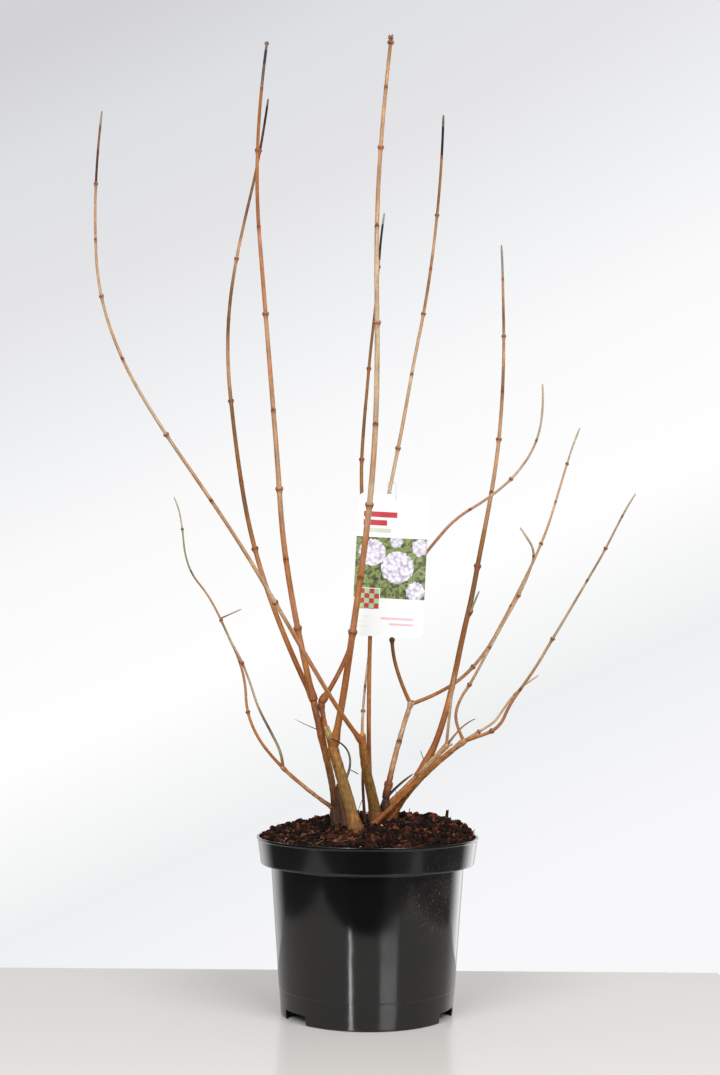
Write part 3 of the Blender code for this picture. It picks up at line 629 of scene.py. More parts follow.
def add_stem_piece(name, slot, course):
    """A stem in its bark, with a pair of buds at each ring and any cluster at its tip."""
    stem = STEMS[name]
    woody = slot in ("trunk_bark", "limb_bark")
    shape = bark_tube(name, stem, course, woody)
    straight = shape.verts.layers.float_vector["straight"]
    buds = []
    for i, ring in enumerate(stem.rings):
        here, along, across, out = frame_at(course, ring * MM)
        thick = thickness(stem, ring * MM)
        size = np.interp(thick, BUD_GIRTHS, BUD_SIZES)
        for side in (1, -1):
            facing = (out if i % 2 else across) * side
            buds.append((here + facing * thick / 2 * BUD_SEAT - along * BUD_DROP, along, facing, size))
    for before, count, size, splay in TIP_BUDS.get(name, ()):
        mark = stem.length * MM - before
        here, along, across, out = frame_at(course, mark)
        for i in range(count):
            facing = across * cos(tau * i / count) + out * sin(tau * i / count)
            root = here + facing * thickness(stem, mark) / 2 * CROWDED_SEAT
            buds.append((root, along, facing, size, splay))
    for bud in buds:
        verts = add_bud(shape, *bud)
        for vertex in verts:
            vertex[straight] = vertex.co - bud[0]
        for face in {face for vertex in verts for face in vertex.link_faces}:
            face.material_index = 1
    nodes = ["cane_" + name, "spray_" + name] if slot == "cane_bark" else [name]
    add_piece("bark_" + name, shape, slot, nodes, bark_trunk if woody else bark_cane, bud_scale)


# ---- fine twigs and knobs ----
# twigs, knobs and lumps that are too small to be solids: their growth, and their bark
SMALL_STEMS = {
    "left_whisker": (Stem("trunk_left_rear", 106, 40, (1.4, 0.8), (-70, -62), (-4, 0)), "drab"),
    "curled_whisker": (Stem("twig_curled", 22, 15, (1.2, 1.5), (110, 124), (-6, 0)), "drab"),
    "right_whisker": (Stem("main_right", 22, 21, (1.3, 1.0), (-24, -17), (-8, -4)), "dark"),
    "base_whisker": (Stem("twig_beside_trunk", 42, 22, (1.1, 0.8), (-152, -166), (-14, -4)), "drab"),
    "loop_whisker": (Stem("limb_right_inner", 8, 25, (1.1, 0.8), (12, 50, 150, 172), (-8, -4)), "pale"),
    "dead_scale": (Stem("limb_right_pale", 122, 11, (5, 2.6), (76, 66), (-10, -4)), "pale"),
    "centre_knob": (Stem("trunk_centre", 131, 11, (9.4, 7.6), (4, 10), (-18, -12)), "knob"),
    "crown_web": (Stem(None, (-27, -16), 70, (19, 7), (-12, -15, -15), (12, 16, 20)), "umber"),
    "crown_snag": (Stem(None, (-4, -14), 15, (6, 3.6), (-34, -22), (-6, -2)), "salmon"),
    "crown_burr": (Stem(None, (8, -12), 16, (11, 8), (10, 30), (-10, 0)), "brown"),
    "crown_stub": (Stem(None, (14, -22), 12, (6, 4.6), (40, 30), (-16, -8)), "tan"),
    "fork_nub": (Stem("limb_right_inner", 139, 9, (5, 3), (24, 30), (-16, -10)), "rust"),
}
SMALL_SIDES = 10
SMALL_ROWS = 14
SMALL_LUMPS = 0.12          # of the radius


def add_small_stems(courses):
    """A rounded, slightly knobbly tube for each small stem."""
    for name, (stem, tone) in SMALL_STEMS.items():
        course = grow(stem, courses)
        length = stem.length * MM
        shape, corners, (straight, tint) = tube(SMALL_SIDES, SMALL_ROWS, "straight", "tint")
        for vertex, turn, row in corners:
            mark = row * length
            girth = np.interp(mark, (0, length), stem.thick) / 2 * MM
            girth *= sqrt(max(0, 1 - (mark / length) ** 8)) if mark > 0 else 0
            here, _, across, out = frame_at(course, mark)
            flat = Vector((cos(turn) * girth, sin(turn) * girth, mark))
            girth *= 1 + SMALL_LUMPS * noise.noise(flat / (3 * MM)) if 0 < mark < length else 0
            vertex.co = here + (across * cos(turn) + out * sin(turn)) * girth
            vertex[straight] = flat
            vertex[tint] = linear(BARK[tone])
        add_piece(name, close_up(shape, WELD / 10), "twig_bark", [], bark_cane)


# ---- finishes ----
def bark_finish(name, woody):
    """Young viburnum bark: thin and satin, lined along the stem, with pale lenticels and red-brown rings."""
    material, tree, shader = finish(name, Roughness=0.62 if woody else 0.5, Specular_IOR_Level=0.16)
    straight = attribute(tree, "straight", "Vector")
    streaks = noise_at(straight, 1.9 * MM, 3, (1, 1, 16))
    fibres = noise_at(straight, 0.9 * MM, 2, (1, 1, 9))
    blotch = noise_at(straight, 10 * MM, 4, (1, 1, 2.4))
    mottle = noise_at(straight, 3.6 * MM, 4, (1, 1, 1.8))
    shade = times(spread(streaks, 0.7, 1.25), spread(blotch, 0.8, 1.18))
    shade = times(shade, spread(mottle, 0.6 if woody else 0.87, 1.4 if woody else 1.13))
    base = shaded(attribute(tree, "tint", "Color"), shade)
    freckle = node(tree, "Mapping", vector=straight, scale=(1, 1, 0.45)).outputs["Vector"]
    pale = 0.26 if woody else 0.12
    speck = ramp(cells(freckle, 2.8 * MM), (0.0, pale), (0.12, pale), (0.2, 0.0))
    spotted = mixed(speck, base, "#cfb083")
    ringed = mixed(times(attribute(tree, "knot", "Fac"), 0.85), spotted, SCAR_COLOUR)
    scarred = mixed(attribute(tree, "scar", "Fac"), ringed, "#5a2c17")
    cut = mixed(spread(fibres, 0.0, 0.5), "#c2ac76", "#8f7448")
    feed(shader, "Base Color", mixed(attribute(tree, "heart", "Fac"), scarred, cut))
    raise_relief(shader, streaks, 0.6, (0.9 if woody else 0.25) * MM)
    return material


def bud_finish():
    """Bud scales: smooth, a little glossy, red-brown with dark points."""
    material, tree, shader = finish("bud_scale", Roughness=0.42)
    streak = noise_at(attribute(tree, "straight", "Vector"), 1.6 * MM, 2, (1, 1, 3))
    feed(shader, "Base Color", ramp(streak, (0.34, BUD_POINT), (0.5, BUD_COLOUR), (0.7, "#94553a")))
    return material


def pot_finish():
    """Injection-moulded recycled polypropylene: near-black and glossy, scratched and dusty on the right."""
    material, tree, shader = finish("pot_moulded_polypropylene", Roughness=0.12, IOR=1.52)
    place = object_place(tree)
    cloud = noise_at(place, 60 * MM, 4)
    turned = node(tree, "Mapping", vector=place, rotation=(0.5, 0.9, 0.35)).outputs["Vector"]
    scratch = ramp(noise_at(turned, 1.1 * MM, 2, (18, 1, 1)), (0.0, 0.0), (0.66, 0.0), (0.7, 1.0))
    worn = ranged(distance(place, WORN_PLACE), 20 * MM, 80 * MM, 0.8, 0.03)
    dust = ramp(cloud, (0.45, 0.0), (0.7, 0.3))
    dirty = mixed(times(dust, worn), "#070708", "#6a5546")
    feed(shader, "Base Color", mixed(times(scratch, worn), dirty, "#9a9389"))
    feed(shader, "Roughness", spread(cloud, 0.09, 0.16))
    raise_relief(shader, noise_at(place, 75 * MM, 1, (2.2, 2.2, 1)), 1.0, 1.6 * MM)
    return material


def mix_finish():
    """Damp peat: black-brown crumbs with rusty fibre, no gloss."""
    material, tree, shader = finish("potting_mix_peat", Roughness=0.95, Specular_IOR_Level=0.08)
    crumb = noise_at(object_place(tree), 4 * MM, 5)
    feed(shader, "Base Color", ramp(crumb, (0.34, "#080504"), (0.5, "#170e0a"), (0.62, "#32190f"),
                                    (0.74, "#54290f")))
    raise_relief(shader, crumb, 0.8, 1.6 * MM)
    return material


def chip_finish():
    """Shredded bark and coir: matt and fibrous, each bit with its own tone."""
    material, tree, shader = finish("bark_chips_shredded", Roughness=0.9, Specular_IOR_Level=0.12)
    grain = spread(noise_at(object_place(tree), 1.6 * MM, 3), 0.35, 1.5)
    feed(shader, "Base Color", shaded(attribute(tree, "tint", "Color"), grain))
    return material


def patch(across, up, box):
    """1 inside a box on the card's face, else 0."""
    left, right, foot, top = (edge * MM for edge in box)
    return times(times(combined("GREATER_THAN", across, left), combined("LESS_THAN", across, right)),
                 times(combined("GREATER_THAN", up, foot), combined("LESS_THAN", up, top)))


def card_finish():
    """Gloss-coated plastic card: white, with a plain printed pattern of bars, discs and checks."""
    material, tree, shader = finish("card_coated_polypropylene", Roughness=0.3)
    face = attribute(tree, "print", "Vector")
    axes = node(tree, "SeparateXYZ", vector=face)
    across, up = axes.outputs["X"], axes.outputs["Z"]
    picture = ramp(noise_at(face, 9 * MM, 3), (0.34, "#33291b"), (0.46, "#56642f"), (0.56, "#93a159"),
                   (0.64, "#6a7b4a"), (0.74, "#4a3324"))
    frill = spread(noise_at(face, 4 * MM, 2), -1.6 * MM, 1.6 * MM)
    petals = cells(face, 5 * MM)
    for x, z, radius, tone in PRINT_DISCS:
        edge = combined("ADD", distance(face, (x * MM, 0, z * MM)), frill)
        bloom = ramp(petals, (0.0, "#ffffff"), (0.5, tone), (0.85, "#b4a9bd"))
        picture = mixed(combined("LESS_THAN", edge, radius * MM), picture, bloom)
    squares = node(tree, "TexChecker", vector=face, scale=1 / (7 * MM), color1=(*linear("#b52a33"), 1.0),
                   color2=(*linear("#a9c792"), 1.0)).outputs["Color"]
    prints = [(PRINT_PANEL, picture), (PRINT_FRAME, PAPER), (PRINT_CHECK, squares)]
    prints += [(box, tone) for tone, boxes in PRINT_BARS.items() for box in boxes]
    ink = PAPER
    for box, over in prints:
        ink = mixed(patch(across, up, box), ink, over)
    feed(shader, "Base Color", ink)
    return material


def tie_finish():
    """Clear drawn nylon, pale and glossy."""
    material, tree, shader = finish("tie_clear_nylon", Roughness=0.25)
    cloud = noise_at(object_place(tree), 8 * MM, 2)
    feed(shader, "Base Color", ramp(cloud, (0.3, "#c3c6c6"), (0.7, "#e2e4e3")))
    return material


WORN_PLACE = (102 * MM, -80 * MM, 172 * MM)     # the middle of the pot's scratched patch
PAPER = "#f3f4f3"
# boxes of the print: left, right, foot and top in mm from the card's middle
PRINT_PANEL = (-50.5, 50.5, -48, 39)
PRINT_FRAME = (-44, -13, -65, -34)
PRINT_CHECK = (-43, -14, -64, -35)
# flower-like discs of the panel: (across, up, radius) in mm, and tone
PRINT_DISCS = ((-27, 17, 19, "#e4dde9"), (10, -3, 23, "#ebe5ef"), (41, 27, 12, "#dcd4e3"),
               (37, -36, 13, "#e0d8e6"), (7, 34, 9, "#d6cddd"))
# plain bars: their tone and boxes
PRINT_BARS = {
    "#c4303b": [(-42, 6, 68, 76), (-42, -8, 56, 64)],
    "#d3d9c4": [(-42, -2, 46, 52)],
    "#e6e9dc": [(16, 40, 88, 90), (20, 40, 82, 84), (24, 40, 76, 78), (28, 40, 70, 72), (32, 40, 64, 66)],
    "#e8bcc4": [(-10, 36, -78, -75), (2, 36, -86, -83)],
    "#eceee4": [(-44, -26, -76, -73), (-44, -32, -83, -80), (-44, -26, -90, -87)],
}
bark_trunk = bark_finish("bark_old_wood", True)
bark_cane = bark_finish("bark_young_cane", False)
bud_scale = bud_finish()
pot_plastic = pot_finish()
mix_peat = mix_finish()
chip_bark = chip_finish()
card_plastic = card_finish()
tie_nylon = tie_finish()


# ---- pieces ----
def mesh_of(name, shape):
    """A mesh of a bmesh, which is freed."""
    mesh = bpy.data.meshes.new(name)
    shape.to_mesh(mesh)
    shape.free()
    return mesh


def linked(name, data):
    """A new object in the scene."""
    made = bpy.data.objects.new(name, data)
    bpy.context.scene.collection.objects.link(made)
    return made


def add_piece(name, shape, slot, nodes, *materials):
    """Makes a piece of a bmesh, which is freed, to stand for CAD nodes."""
    for face in shape.faces:
        face.smooth = True
    piece = linked(name, mesh_of(name, shape))
    for material in materials:
        piece.data.materials.append(material)
    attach(piece, BODY)
    if nodes:
        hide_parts(*nodes)
    return piece


# ---- pot ----
def wall_radius(height):
    """Outer radius of the pot's tapered wall."""
    slope = (WALL_TOP_RADIUS - BASE_RADIUS) / (POT_HEIGHT - COLLAR_HEIGHT)
    return BASE_RADIUS + slope * height


def pot_profile():
    """(radius, height, rounding) round the pot's wall, from the middle of its floor to its underside."""
    ledge = POT_HEIGHT - COLLAR_HEIGHT
    lip = RIM_RADIUS + LIP_REACH
    line = MOULD_LINE_HEIGHT
    ring = BASE_RADIUS - FOOT_RING_WIDTH
    edge = EDGE_ROUNDING
    return [(0, WALL, 0), (PAD_RADIUS, WALL, 0), (PAD_RADIUS + PAD_SLOPE, FLOOR_RISE + WALL, 0),
            (wall_radius(FLOOR_RISE) - WALL, FLOOR_RISE + WALL, 0),
            (WALL_TOP_RADIUS - WALL, ledge + WALL, 0), (COLLAR_FOOT_RADIUS - WALL, ledge + WALL, 0),
            (RIM_RADIUS - WALL, POT_HEIGHT, edge), (lip, POT_HEIGHT, edge),
            (lip, POT_HEIGHT - LIP_HEIGHT, edge), (RIM_RADIUS, POT_HEIGHT - LIP_HEIGHT - LIP_FALL, edge),
            (COLLAR_FOOT_RADIUS, ledge, FOLD_ROUNDING), (WALL_TOP_RADIUS, ledge, FOLD_ROUNDING),
            (wall_radius(line) + MOULD_LINE_STEP, line, edge / 3),
            (wall_radius(line), line - 2 * MOULD_LINE_STEP, edge / 3),
            (BASE_RADIUS, 0, FOOT_ROUNDING), (ring, 0, 0), (ring, FLOOR_RISE, 0),
            (PAD_RADIUS + PAD_SLOPE + WALL, FLOOR_RISE, 0), (PAD_RADIUS + WALL, 0, 0), (0, 0, 0)]


HOLDING = 1.5 * MM          # rings this near each corner keep the flats between them flat in gloss


def spun(profile, segments):
    """A bmesh turned from (radius, height, rounding) points, its corners rounded first."""
    shape = bmesh.new()
    line = [shape.verts.new((radius, 0, height)) for radius, height, _ in profile]
    for a, b in zip(line, line[1:]):
        shape.edges.new((a, b))
    corners = {}
    for vertex, (_, _, rounding) in zip(line, profile):
        if rounding:
            corners.setdefault(rounding, []).append(vertex)
    for rounding, group in corners.items():
        bmesh.ops.bevel(shape, geom=group, offset=rounding, segments=4, profile=0.5, affect="VERTICES",
                        material=-1)
    for edge in [edge for edge in shape.edges if edge.calc_length() > 3 * HOLDING]:
        edge, inner = bmesh.utils.edge_split(edge, edge.verts[0], HOLDING / edge.calc_length())
        rest = next(link for link in inner.link_edges if link is not edge)
        bmesh.utils.edge_split(rest, rest.other_vert(inner), HOLDING / rest.calc_length())
    bmesh.ops.spin(shape, geom=shape.verts[:] + shape.edges[:], cent=(0, 0, 0), axis=(0, 0, 1),
                   dvec=(0, 0, 0), angle=tau, steps=segments, use_merge=True)
    return close_up(shape)


def block(size, axis, rounding, segments):
    """A box whose edges along one axis are rounded."""
    shape = bmesh.new()
    bmesh.ops.create_cube(shape, size=1.0)
    move(shape, Matrix.Diagonal((*size, 1)))
    corners = [edge for edge in shape.edges
               if abs(edge.verts[0].co[axis] - edge.verts[1].co[axis]) > size[axis] / 2]
    bmesh.ops.bevel(shape, geom=corners, offset=rounding, segments=segments, profile=0.5,
                    affect="EDGES", material=-1)
    return shape


def add_pot():
    """The moulded pot, with its drainage notches cut out."""
    pot = add_piece("moulded_pot", spun(pot_profile(), POT_SEGMENTS), "pot", ["pot"], pot_plastic)
    notches = []
    for index in range(NOTCHES):
        shape = block((NOTCH_DEPTH, NOTCH_WIDTH, 2 * NOTCH_HEIGHT), 0, NOTCH_ROUND, 4)
        move(shape, Matrix.Translation((BASE_RADIUS, 0, 0)),
             Matrix.Rotation(FIRST_NOTCH_ANGLE + index * tau / NOTCHES, 4, "Z"))
        notches.append(shape)
    cut_away(pot, notches)
    pot.data.set_sharp_from_angle(angle=SHARP_EDGE)


def cut_away(piece, shapes):
    """Cuts bmeshes, which are freed, out of a piece."""
    cutters = []
    for shape in shapes:
        cutters.append(linked("cutter", mesh_of("cutter", shape)))
        boolean = piece.modifiers.new("cut", "BOOLEAN")
        boolean.object = cutters[-1]
        boolean.solver = "EXACT"
    bpy.context.view_layer.update()
    mesh = bpy.data.meshes.new_from_object(piece.evaluated_get(bpy.context.evaluated_depsgraph_get()))
    piece.modifiers.clear()
    piece.data = mesh
    for cutter in cutters:
        bpy.data.objects.remove(cutter)


# ---- potting mix ----
def mix_height(x, y):
    """Height of the heap of potting mix: a lumpy tilted top that rolls off to the collar."""
    reach = min(1.0, max(0.0, (MIX_EDGE_RADIUS - hypot(x, y)) / MIX_SHOULDER))
    lump = noise.noise(Vector((x, y, 0)) / MIX_LUMP_SPACING) * MIX_LUMP if reach > 0 else 0
    return MIX_EDGE + (heap_top(x, y) - MIX_EDGE) * sqrt(reach) + lump


def clods(x, y):
    """The loose relief of the mix's surface, which dies away at the wall."""
    here = Vector((x, y, 0))
    near = min(1.0, max(0.0, (MIX_EDGE_RADIUS - here.length) / CLOD_MARGIN))
    lumps = noise.noise(here / CLOD_SPACING) * CLOD_HEIGHT
    grains = noise.noise(here / GRAIN_SPACING + Vector((7, 3, 1))) * GRAIN_HEIGHT
    return (lumps + grains) * near


def add_mix():
    """The body of the mix, its top raised to the heap's height."""
    rings = MIX_CELLS // 2
    top = [(MIX_EDGE_RADIUS * i / rings, MIX_EDGE, 0) for i in range(rings)]
    ledge = POT_HEIGHT - COLLAR_HEIGHT + MIX_INSET
    wall = [(MIX_EDGE_RADIUS, MIX_EDGE - MIX_SKIRT, 0), (COLLAR_FOOT_RADIUS - MIX_INSET, ledge, 0),
            (WALL_TOP_RADIUS - MIX_INSET, ledge, 0),
            (wall_radius(FLOOR_RISE) - MIX_INSET, FLOOR_RISE + MIX_INSET, 0), (0, FLOOR_RISE + MIX_INSET, 0)]
    shape = spun(top + wall, MIX_SEGMENTS)
    for vertex in shape.verts:
        if vertex.co.z > MIX_EDGE - WELD:
            vertex.co.z = mix_height(vertex.co.x, vertex.co.y) + clods(vertex.co.x, vertex.co.y)
    add_piece("potting_mix_heap", shape, "potting_mix", ["potting_mix"], mix_peat)


# loose bits on the heap: (how many, size ranges in mm, how ragged, tones)
CHIPS = {
    "clod": (420, ((7, 19), (6, 15), (5, 11)), 0.13, "#0d0806 #150d09 #1d110b #2c160d #47200f"),
    "crumb": (1700, ((2, 7), (2, 5), (1.5, 5)), 0.16, "#0f0907 #1c110b #2d170e #452415 #5e3120"),
    "chip": (260, ((5, 13), (3, 7), (1.4, 4)), 0.2, "#3a1c10 #542a1a #6e3a26 #84482e #7c5440"),
    "fibre": (700, ((6, 18), (0.6, 1.4), (0.6, 1.2)), 0.1, "#452618 #683f2a #1b100b #765644 #301a10"),
    "speck": (40, ((1.2, 2.6), (1.2, 2.2), (1, 2)), 0.1, "#d9d6cf #c7c3ba #a8a197"),
}
CHIP_SEED = 11
CHIP_REACH = 0.985          # of the heap's radius
CHIP_DEPTH = 1.5            # mm above or below the surface
CHIP_TILTS = {"X": 0.6, "Y": 0.42}      # usual tilts about each axis, in radians
RUSTY_TONES = "#5f3020 #6e3722 #4e2719 #7d432b"
RUSTY_MOST = 0.5            # share of rust-red bits at the right of the heap
RUSTY_BACK = 0.4            # how much this share grows to the back as well
# bits that stand up: x, y, height and width in mm, lean to the right in radians, tone
STANDING_CHIPS = ((112, 40, 17, 6, 0.1, "#33190f"), (-52, 10, 12, 3.4, -0.1, "#120c0a"),
                  (-63, 20, 9, 1.6, -0.5, "#1c120d"), (147, 6, 11, 1.8, 0.9, "#2a1a13"),
                  (-56, 14, 13, 2.2, 0.3, "#0e0907"), (60, 26, 9, 9, 0.9, "#6b2c14"),
                  (92, 48, 8, 11, 0.6, "#7a3517"), (-98, 55, 7, 9, -0.5, "#26140c"),
                  (-2, 18, 13, 8, -0.2, "#0d0806"), (-14, 22, 9, 6, 0.4, "#120b08"),
                  (34, 6, 9, 7, 0.5, "#1c110b"), (44, 2, 7, 8, 0.8, "#5c2812"))


def ragged(draw, shape, amount):
    """Moves each corner of a bit by a random amount."""
    for vertex in shape.verts:
        vertex.co += Vector((draw.uniform(-1, 1), draw.uniform(-1, 1), draw.uniform(-1, 1))) * amount


def chip(draw, kind):
    """One loose bit about the origin, as it lies."""
    _, sizes, amount, _ = CHIPS[kind]
    shape = bmesh.new()
    bmesh.ops.create_cube(shape, size=1.0)
    if kind in ("chip", "fibre"):
        long_edges = [edge for edge in shape.edges if abs(edge.verts[0].co.x - edge.verts[1].co.x) > 0.5]
        bmesh.ops.subdivide_edges(shape, edges=long_edges, cuts=2)
    else:
        bmesh.ops.subdivide_edges(shape, edges=shape.edges, cuts=1, use_grid_fill=True)
        for vertex in shape.verts:
            vertex.co = vertex.co.normalized() * 0.5
    ragged(draw, shape, amount)
    size = Vector([draw.uniform(*span) for span in sizes]) * MM
    lay = Matrix.Rotation(draw.uniform(0, tau), 4, "Z")
    for axis, tilt in CHIP_TILTS.items():
        lay = lay @ Matrix.Rotation(draw.gauss(0, tilt), 4, axis)
    move(shape, lay @ Matrix.Diagonal((*size, 1)))
    return shape


def lay_bit(heap, shape, x, y, height, tone):
    """Adds one bit to the heap's mesh at a place, kept inside the pot's collar."""
    tint = shape.verts.layers.float_vector.new("tint")
    limit = RIM_RADIUS - WALL - CHIP_CLEARANCE
    for vertex in shape.verts:
        vertex[tint] = tone
        vertex.co += Vector((x, y, height))
        reach = hypot(vertex.co.x, vertex.co.y)
        if reach > limit:
            vertex.co.x *= limit / reach
            vertex.co.y *= limit / reach
    loose = mesh_of("loose", shape)
    heap.from_mesh(loose)
    bpy.data.meshes.remove(loose)


def add_chips():
    """Loose bark chips, clods, crumbs and fibres on the heap, from one seeded draw."""
    draw = random.Random(CHIP_SEED)
    heap = bmesh.new()
    heap.verts.layers.float_vector.new("tint")
    for kind, (count, _, _, usual) in CHIPS.items():
        for _ in range(count):
            radius = MIX_EDGE_RADIUS * sqrt(draw.random()) * CHIP_REACH
            turn = draw.uniform(0, tau)
            x, y = radius * cos(turn), radius * sin(turn)
            height = mix_height(x, y) + clods(x, y) + draw.uniform(-CHIP_DEPTH, CHIP_DEPTH) * MM
            share = RUSTY_MOST * (x + RUSTY_BACK * y) / MIX_EDGE_RADIUS
            rusty = kind in ("crumb", "chip") and draw.random() < share
            bit = chip(draw, kind)
            tone = draw.choice((RUSTY_TONES if rusty else usual).split())
            lay_bit(heap, bit, x, y, height, linear(tone))
    for x, y, tall, wide, lean, tone in STANDING_CHIPS:
        shape = bmesh.new()
        bmesh.ops.create_cone(shape, cap_ends=True, segments=6, radius1=0.5, radius2=0.32, depth=1)
        move(shape, Matrix.Translation((0, 0, 0.35)))
        ragged(draw, shape, 0.1)
        move(shape, Matrix.Diagonal((wide * MM, wide * MM, tall * MM, 1)), Matrix.Rotation(lean, 4, "Y"))
        lay_bit(heap, shape, x * MM, y * MM, mix_height(x * MM, y * MM), linear(tone))
    piece = add_piece("bark_chips", heap, "potting_mix", ["potting_mix"], chip_bark)
    piece.data.shade_flat()


# ---- hang card ----
def card_place():
    """Where the card hangs."""
    return Matrix.Translation(CARD_MIDDLE) @ Matrix.Rotation(CARD_LEAN, 4, "Y")


def add_card():
    """A thin card with round corners and a punched hole, a little bowed, printed on its front."""
    shape = block((CARD_WIDTH, CARD_THICK, CARD_HEIGHT), 1, CARD_CORNER, 10)
    card = add_piece("printed_card", shape, "card", ["hang_card"], card_plastic)
    punch = bmesh.new()
    bmesh.ops.create_cone(punch, cap_ends=True, segments=32, radius1=CARD_HOLE_RADIUS,
                          radius2=CARD_HOLE_RADIUS, depth=10 * CARD_THICK)
    move(punch, Matrix.Rotation(pi / 2, 4, "X"), Matrix.Translation((CARD_HOLE[0], 0, CARD_HOLE[1])))
    cut_away(card, [punch])
    shape = bmesh.new()
    shape.from_mesh(card.data)
    for i in range(1, CARD_STRIPS):
        bmesh.ops.bisect_plane(shape, geom=shape.verts[:] + shape.edges[:] + shape.faces[:],
                               plane_co=(CARD_WIDTH * (i / CARD_STRIPS - 0.5), 0, 0), plane_no=(1, 0, 0))
    face = shape.verts.layers.float_vector.new("print")
    for vertex in shape.verts:
        vertex[face] = vertex.co if vertex.co.y < 0 else (1, 1, 1)
        vertex.co.y += CARD_BOW * (0.5 - (vertex.co.x / (CARD_WIDTH / 2)) ** 2)
    move(shape, card_place())
    shape.to_mesh(card.data)
    shape.free()
    card.data.set_sharp_from_angle(angle=SHARP_EDGE)


def add_tie(courses):
    """A closed loop of clear cord through the card's hole and round the cane behind it."""
    course, stem = courses[TIED_CANE], STEMS[TIED_CANE]
    low = card_place() @ Vector((CARD_HOLE[0], 0, CARD_HOLE[1]))
    low.z += CARD_HOLE_RADIUS - TIE_THICK / 2 - GAP
    mark = np.interp(TIE_HEIGHT, course[1][:, 2], course[0])
    clear = (thickness(stem, mark) + TIE_THICK) / 2 + GAP
    rise = Vector(place_along(course, mark)) + Vector((0, clear, 0)) - low

    def loop(share):
        turn = tau * share
        along = (1 - cos(turn)) / 2
        return low + Vector((rise.x * sin(pi / 2 * along) + sin(turn) * TIE_WIDTH * along,
                             rise.y * along ** 3 - sin(turn) * TIE_DEPTH * (1 - along), rise.z * along))

    shape, corners, _ = tube(TIE_SIDES, TIE_STATIONS)
    for vertex, turn, share in corners:
        ahead = (loop(share + TIE_NEAR) - loop(share - TIE_NEAR)).normalized()
        out = ahead.cross(TIE_ASIDE).normalized()
        across = ahead.cross(out)
        vertex.co = loop(share) + (out * cos(turn) + across * sin(turn)) * TIE_THICK / 2
    add_piece("clear_tie", close_up(shape), "tie", ["card_tie"], tie_nylon)


# ---- studio ----
FLOOR_FRONT = -0.48         # the table's front edge; the pot's upper wall mirrors the dark room past it
FLOOR_BACK = 0.27
FLOOR_LEFT = -0.6
FLOOR_RIGHT = 0.55
LIGHT_AIM = 0.45            # metres above the floor
WORLD_FILL = 0.5            # the room's light on matt surfaces
# the room as it shows in gloss: where a heading starts and ends, and the light there
ROOM_BEHIND = (0.48, 0.72, 0.09, 1)
ROOM_RIGHT = (0.3, 0.45, 0, 1.8)
ROOM_LEFT = (-0.45, -0.3, 0.5, 0)
ROOM_LEVEL = 0.9
WALL_SLANT = (-0.45, 0, 1)  # the backdrop darkens up and to the left


def add_floor():
    """A pale glossy table top, whose edges set what the pot mirrors."""
    shape = bmesh.new()
    bmesh.ops.create_grid(shape, x_segments=1, y_segments=1, size=0.5)
    move(shape, Matrix.Diagonal((FLOOR_RIGHT - FLOOR_LEFT, FLOOR_BACK - FLOOR_FRONT, 1, 1)),
         Matrix.Translation(((FLOOR_RIGHT + FLOOR_LEFT) / 2, (FLOOR_BACK + FLOOR_FRONT) / 2, 0)))
    floor = linked("floor", mesh_of("floor", shape))
    material, _, shader = finish("floor_satin_laminate", Roughness=0.14, Specular_IOR_Level=0.12)
    shader.inputs["Base Color"].default_value = (*linear("#e6e3de"), 1)
    floor.data.materials.append(material)


def add_light(name, bearing, distance, height, size, watts, gloss_only=False):
    """An area light aimed at the shrub: bearing is in degrees to the right of the camera's side."""
    data = bpy.data.lights.new(name, "AREA")
    data.shape = "RECTANGLE"
    data.size, data.size_y = size
    data.energy = watts
    light = linked(name, data)
    light.location = (distance * sin(radians(bearing)), -distance * cos(radians(bearing)), height)
    light.rotation_euler = (Vector((0, 0, LIGHT_AIM)) - light.location).to_track_quat("-Z", "Y").to_euler()
    light.visible_camera = False
    light.visible_diffuse = not gloss_only


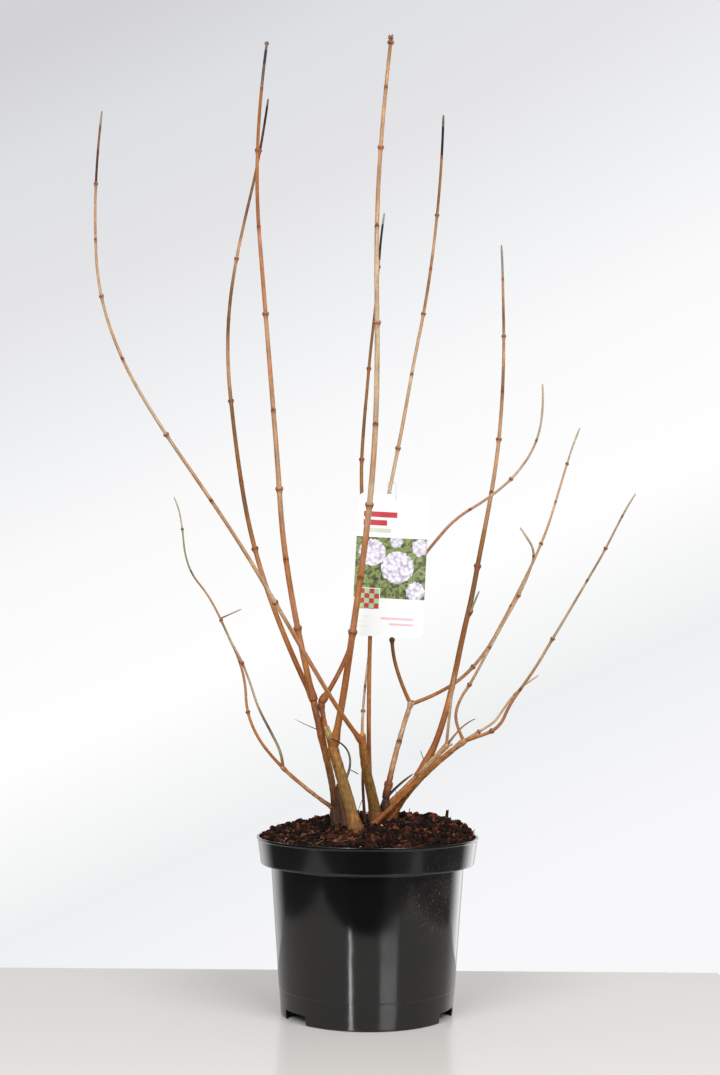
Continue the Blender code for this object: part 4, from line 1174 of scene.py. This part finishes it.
def add_world():
    """A pale room; in gloss its front half is dark and its two back corners are lit."""
    world = bpy.data.worlds.new("studio")
    world.use_nodes = True
    tree = world.node_tree
    heading = node(tree, "TexCoord").outputs["Generated"]
    axes = node(tree, "SeparateXYZ", vector=heading)
    slope = node(tree, "VectorMath", {"operation": "DOT_PRODUCT"}, in_0=heading,
                 in_1=WALL_SLANT).outputs["Value"]
    wall = ramp(combined("ADD", slope, 0.4), (0.2, "#f8f8fa"), (0.34, "#eff0f1"), (0.46, "#ffffff"),
                (0.6, "#fafafb"), (0.7, "#eeeff1"), (0.78, "#e5e5e8"), (0.87, "#dfe0e3"), (0.94, "#d3d3d6"))
    corners = combined("ADD", ranged(axes.outputs["X"], *ROOM_RIGHT), ranged(axes.outputs["X"], *ROOM_LEFT))
    gloss = times(ranged(axes.outputs["Y"], *ROOM_BEHIND), combined("ADD", corners, ROOM_LEVEL))
    paths = node(tree, "LightPath").outputs
    fill = node(tree, "Mix", {"data_type": "FLOAT"}, factor=paths["Is Glossy Ray"], a=WORLD_FILL,
                b=gloss).outputs[0]
    strength = node(tree, "Mix", {"data_type": "FLOAT"}, factor=paths["Is Camera Ray"], a=fill, b=1.0)
    feed(tree.nodes["Background"], "Color", wall)
    feed(tree.nodes["Background"], "Strength", strength.outputs[0])
    bpy.context.scene.world = world


def add_studio():
    """Two soft lights for the shrub, two that only show in gloss, and the room."""
    bpy.context.scene.view_settings.view_transform = "Standard"
    add_world()
    add_light("key_soft", -28, 2.9, 2.4, (1.9, 1.6), 64)
    add_light("fill_soft", 34, 2.6, 2.5, (2.0, 1.6), 62)
    add_light("strip", -20.5, 2.6, 1.0, (0.05, 0.5), 30, gloss_only=True)
    add_light("window", 27, 2.6, 1.0, (0.95, 0.5), 36, gloss_only=True)


def add_camera():
    """The camera of the main view."""
    data = bpy.data.cameras.new("camera")
    data.lens = CAMERA_LENS
    data.sensor_width = CAMERA_SENSOR
    camera = linked("camera", data)
    camera.matrix_world = Matrix.Translation(CAMERA_PLACE) @ Matrix.Rotation(-CAMERA_YAW, 4, "Z") \
        @ Matrix.Rotation(pi / 2 + CAMERA_PITCH, 4, "X") @ Matrix.Rotation(CAMERA_ROLL, 4, "Z")
    bpy.context.scene.camera = camera


# ---- the shrub ----
courses = {}
for stem_name, each in STEMS.items():
    courses[stem_name] = grow(each, courses)
for stem_slot, group in STEM_SLOTS.items():
    for stem_name in group:
        add_stem_piece(stem_name, stem_slot, courses[stem_name])
add_small_stems(courses)
add_pot()
add_mix()
add_chips()
add_card()
add_tie(courses)
add_floor()
add_studio()
add_camera()
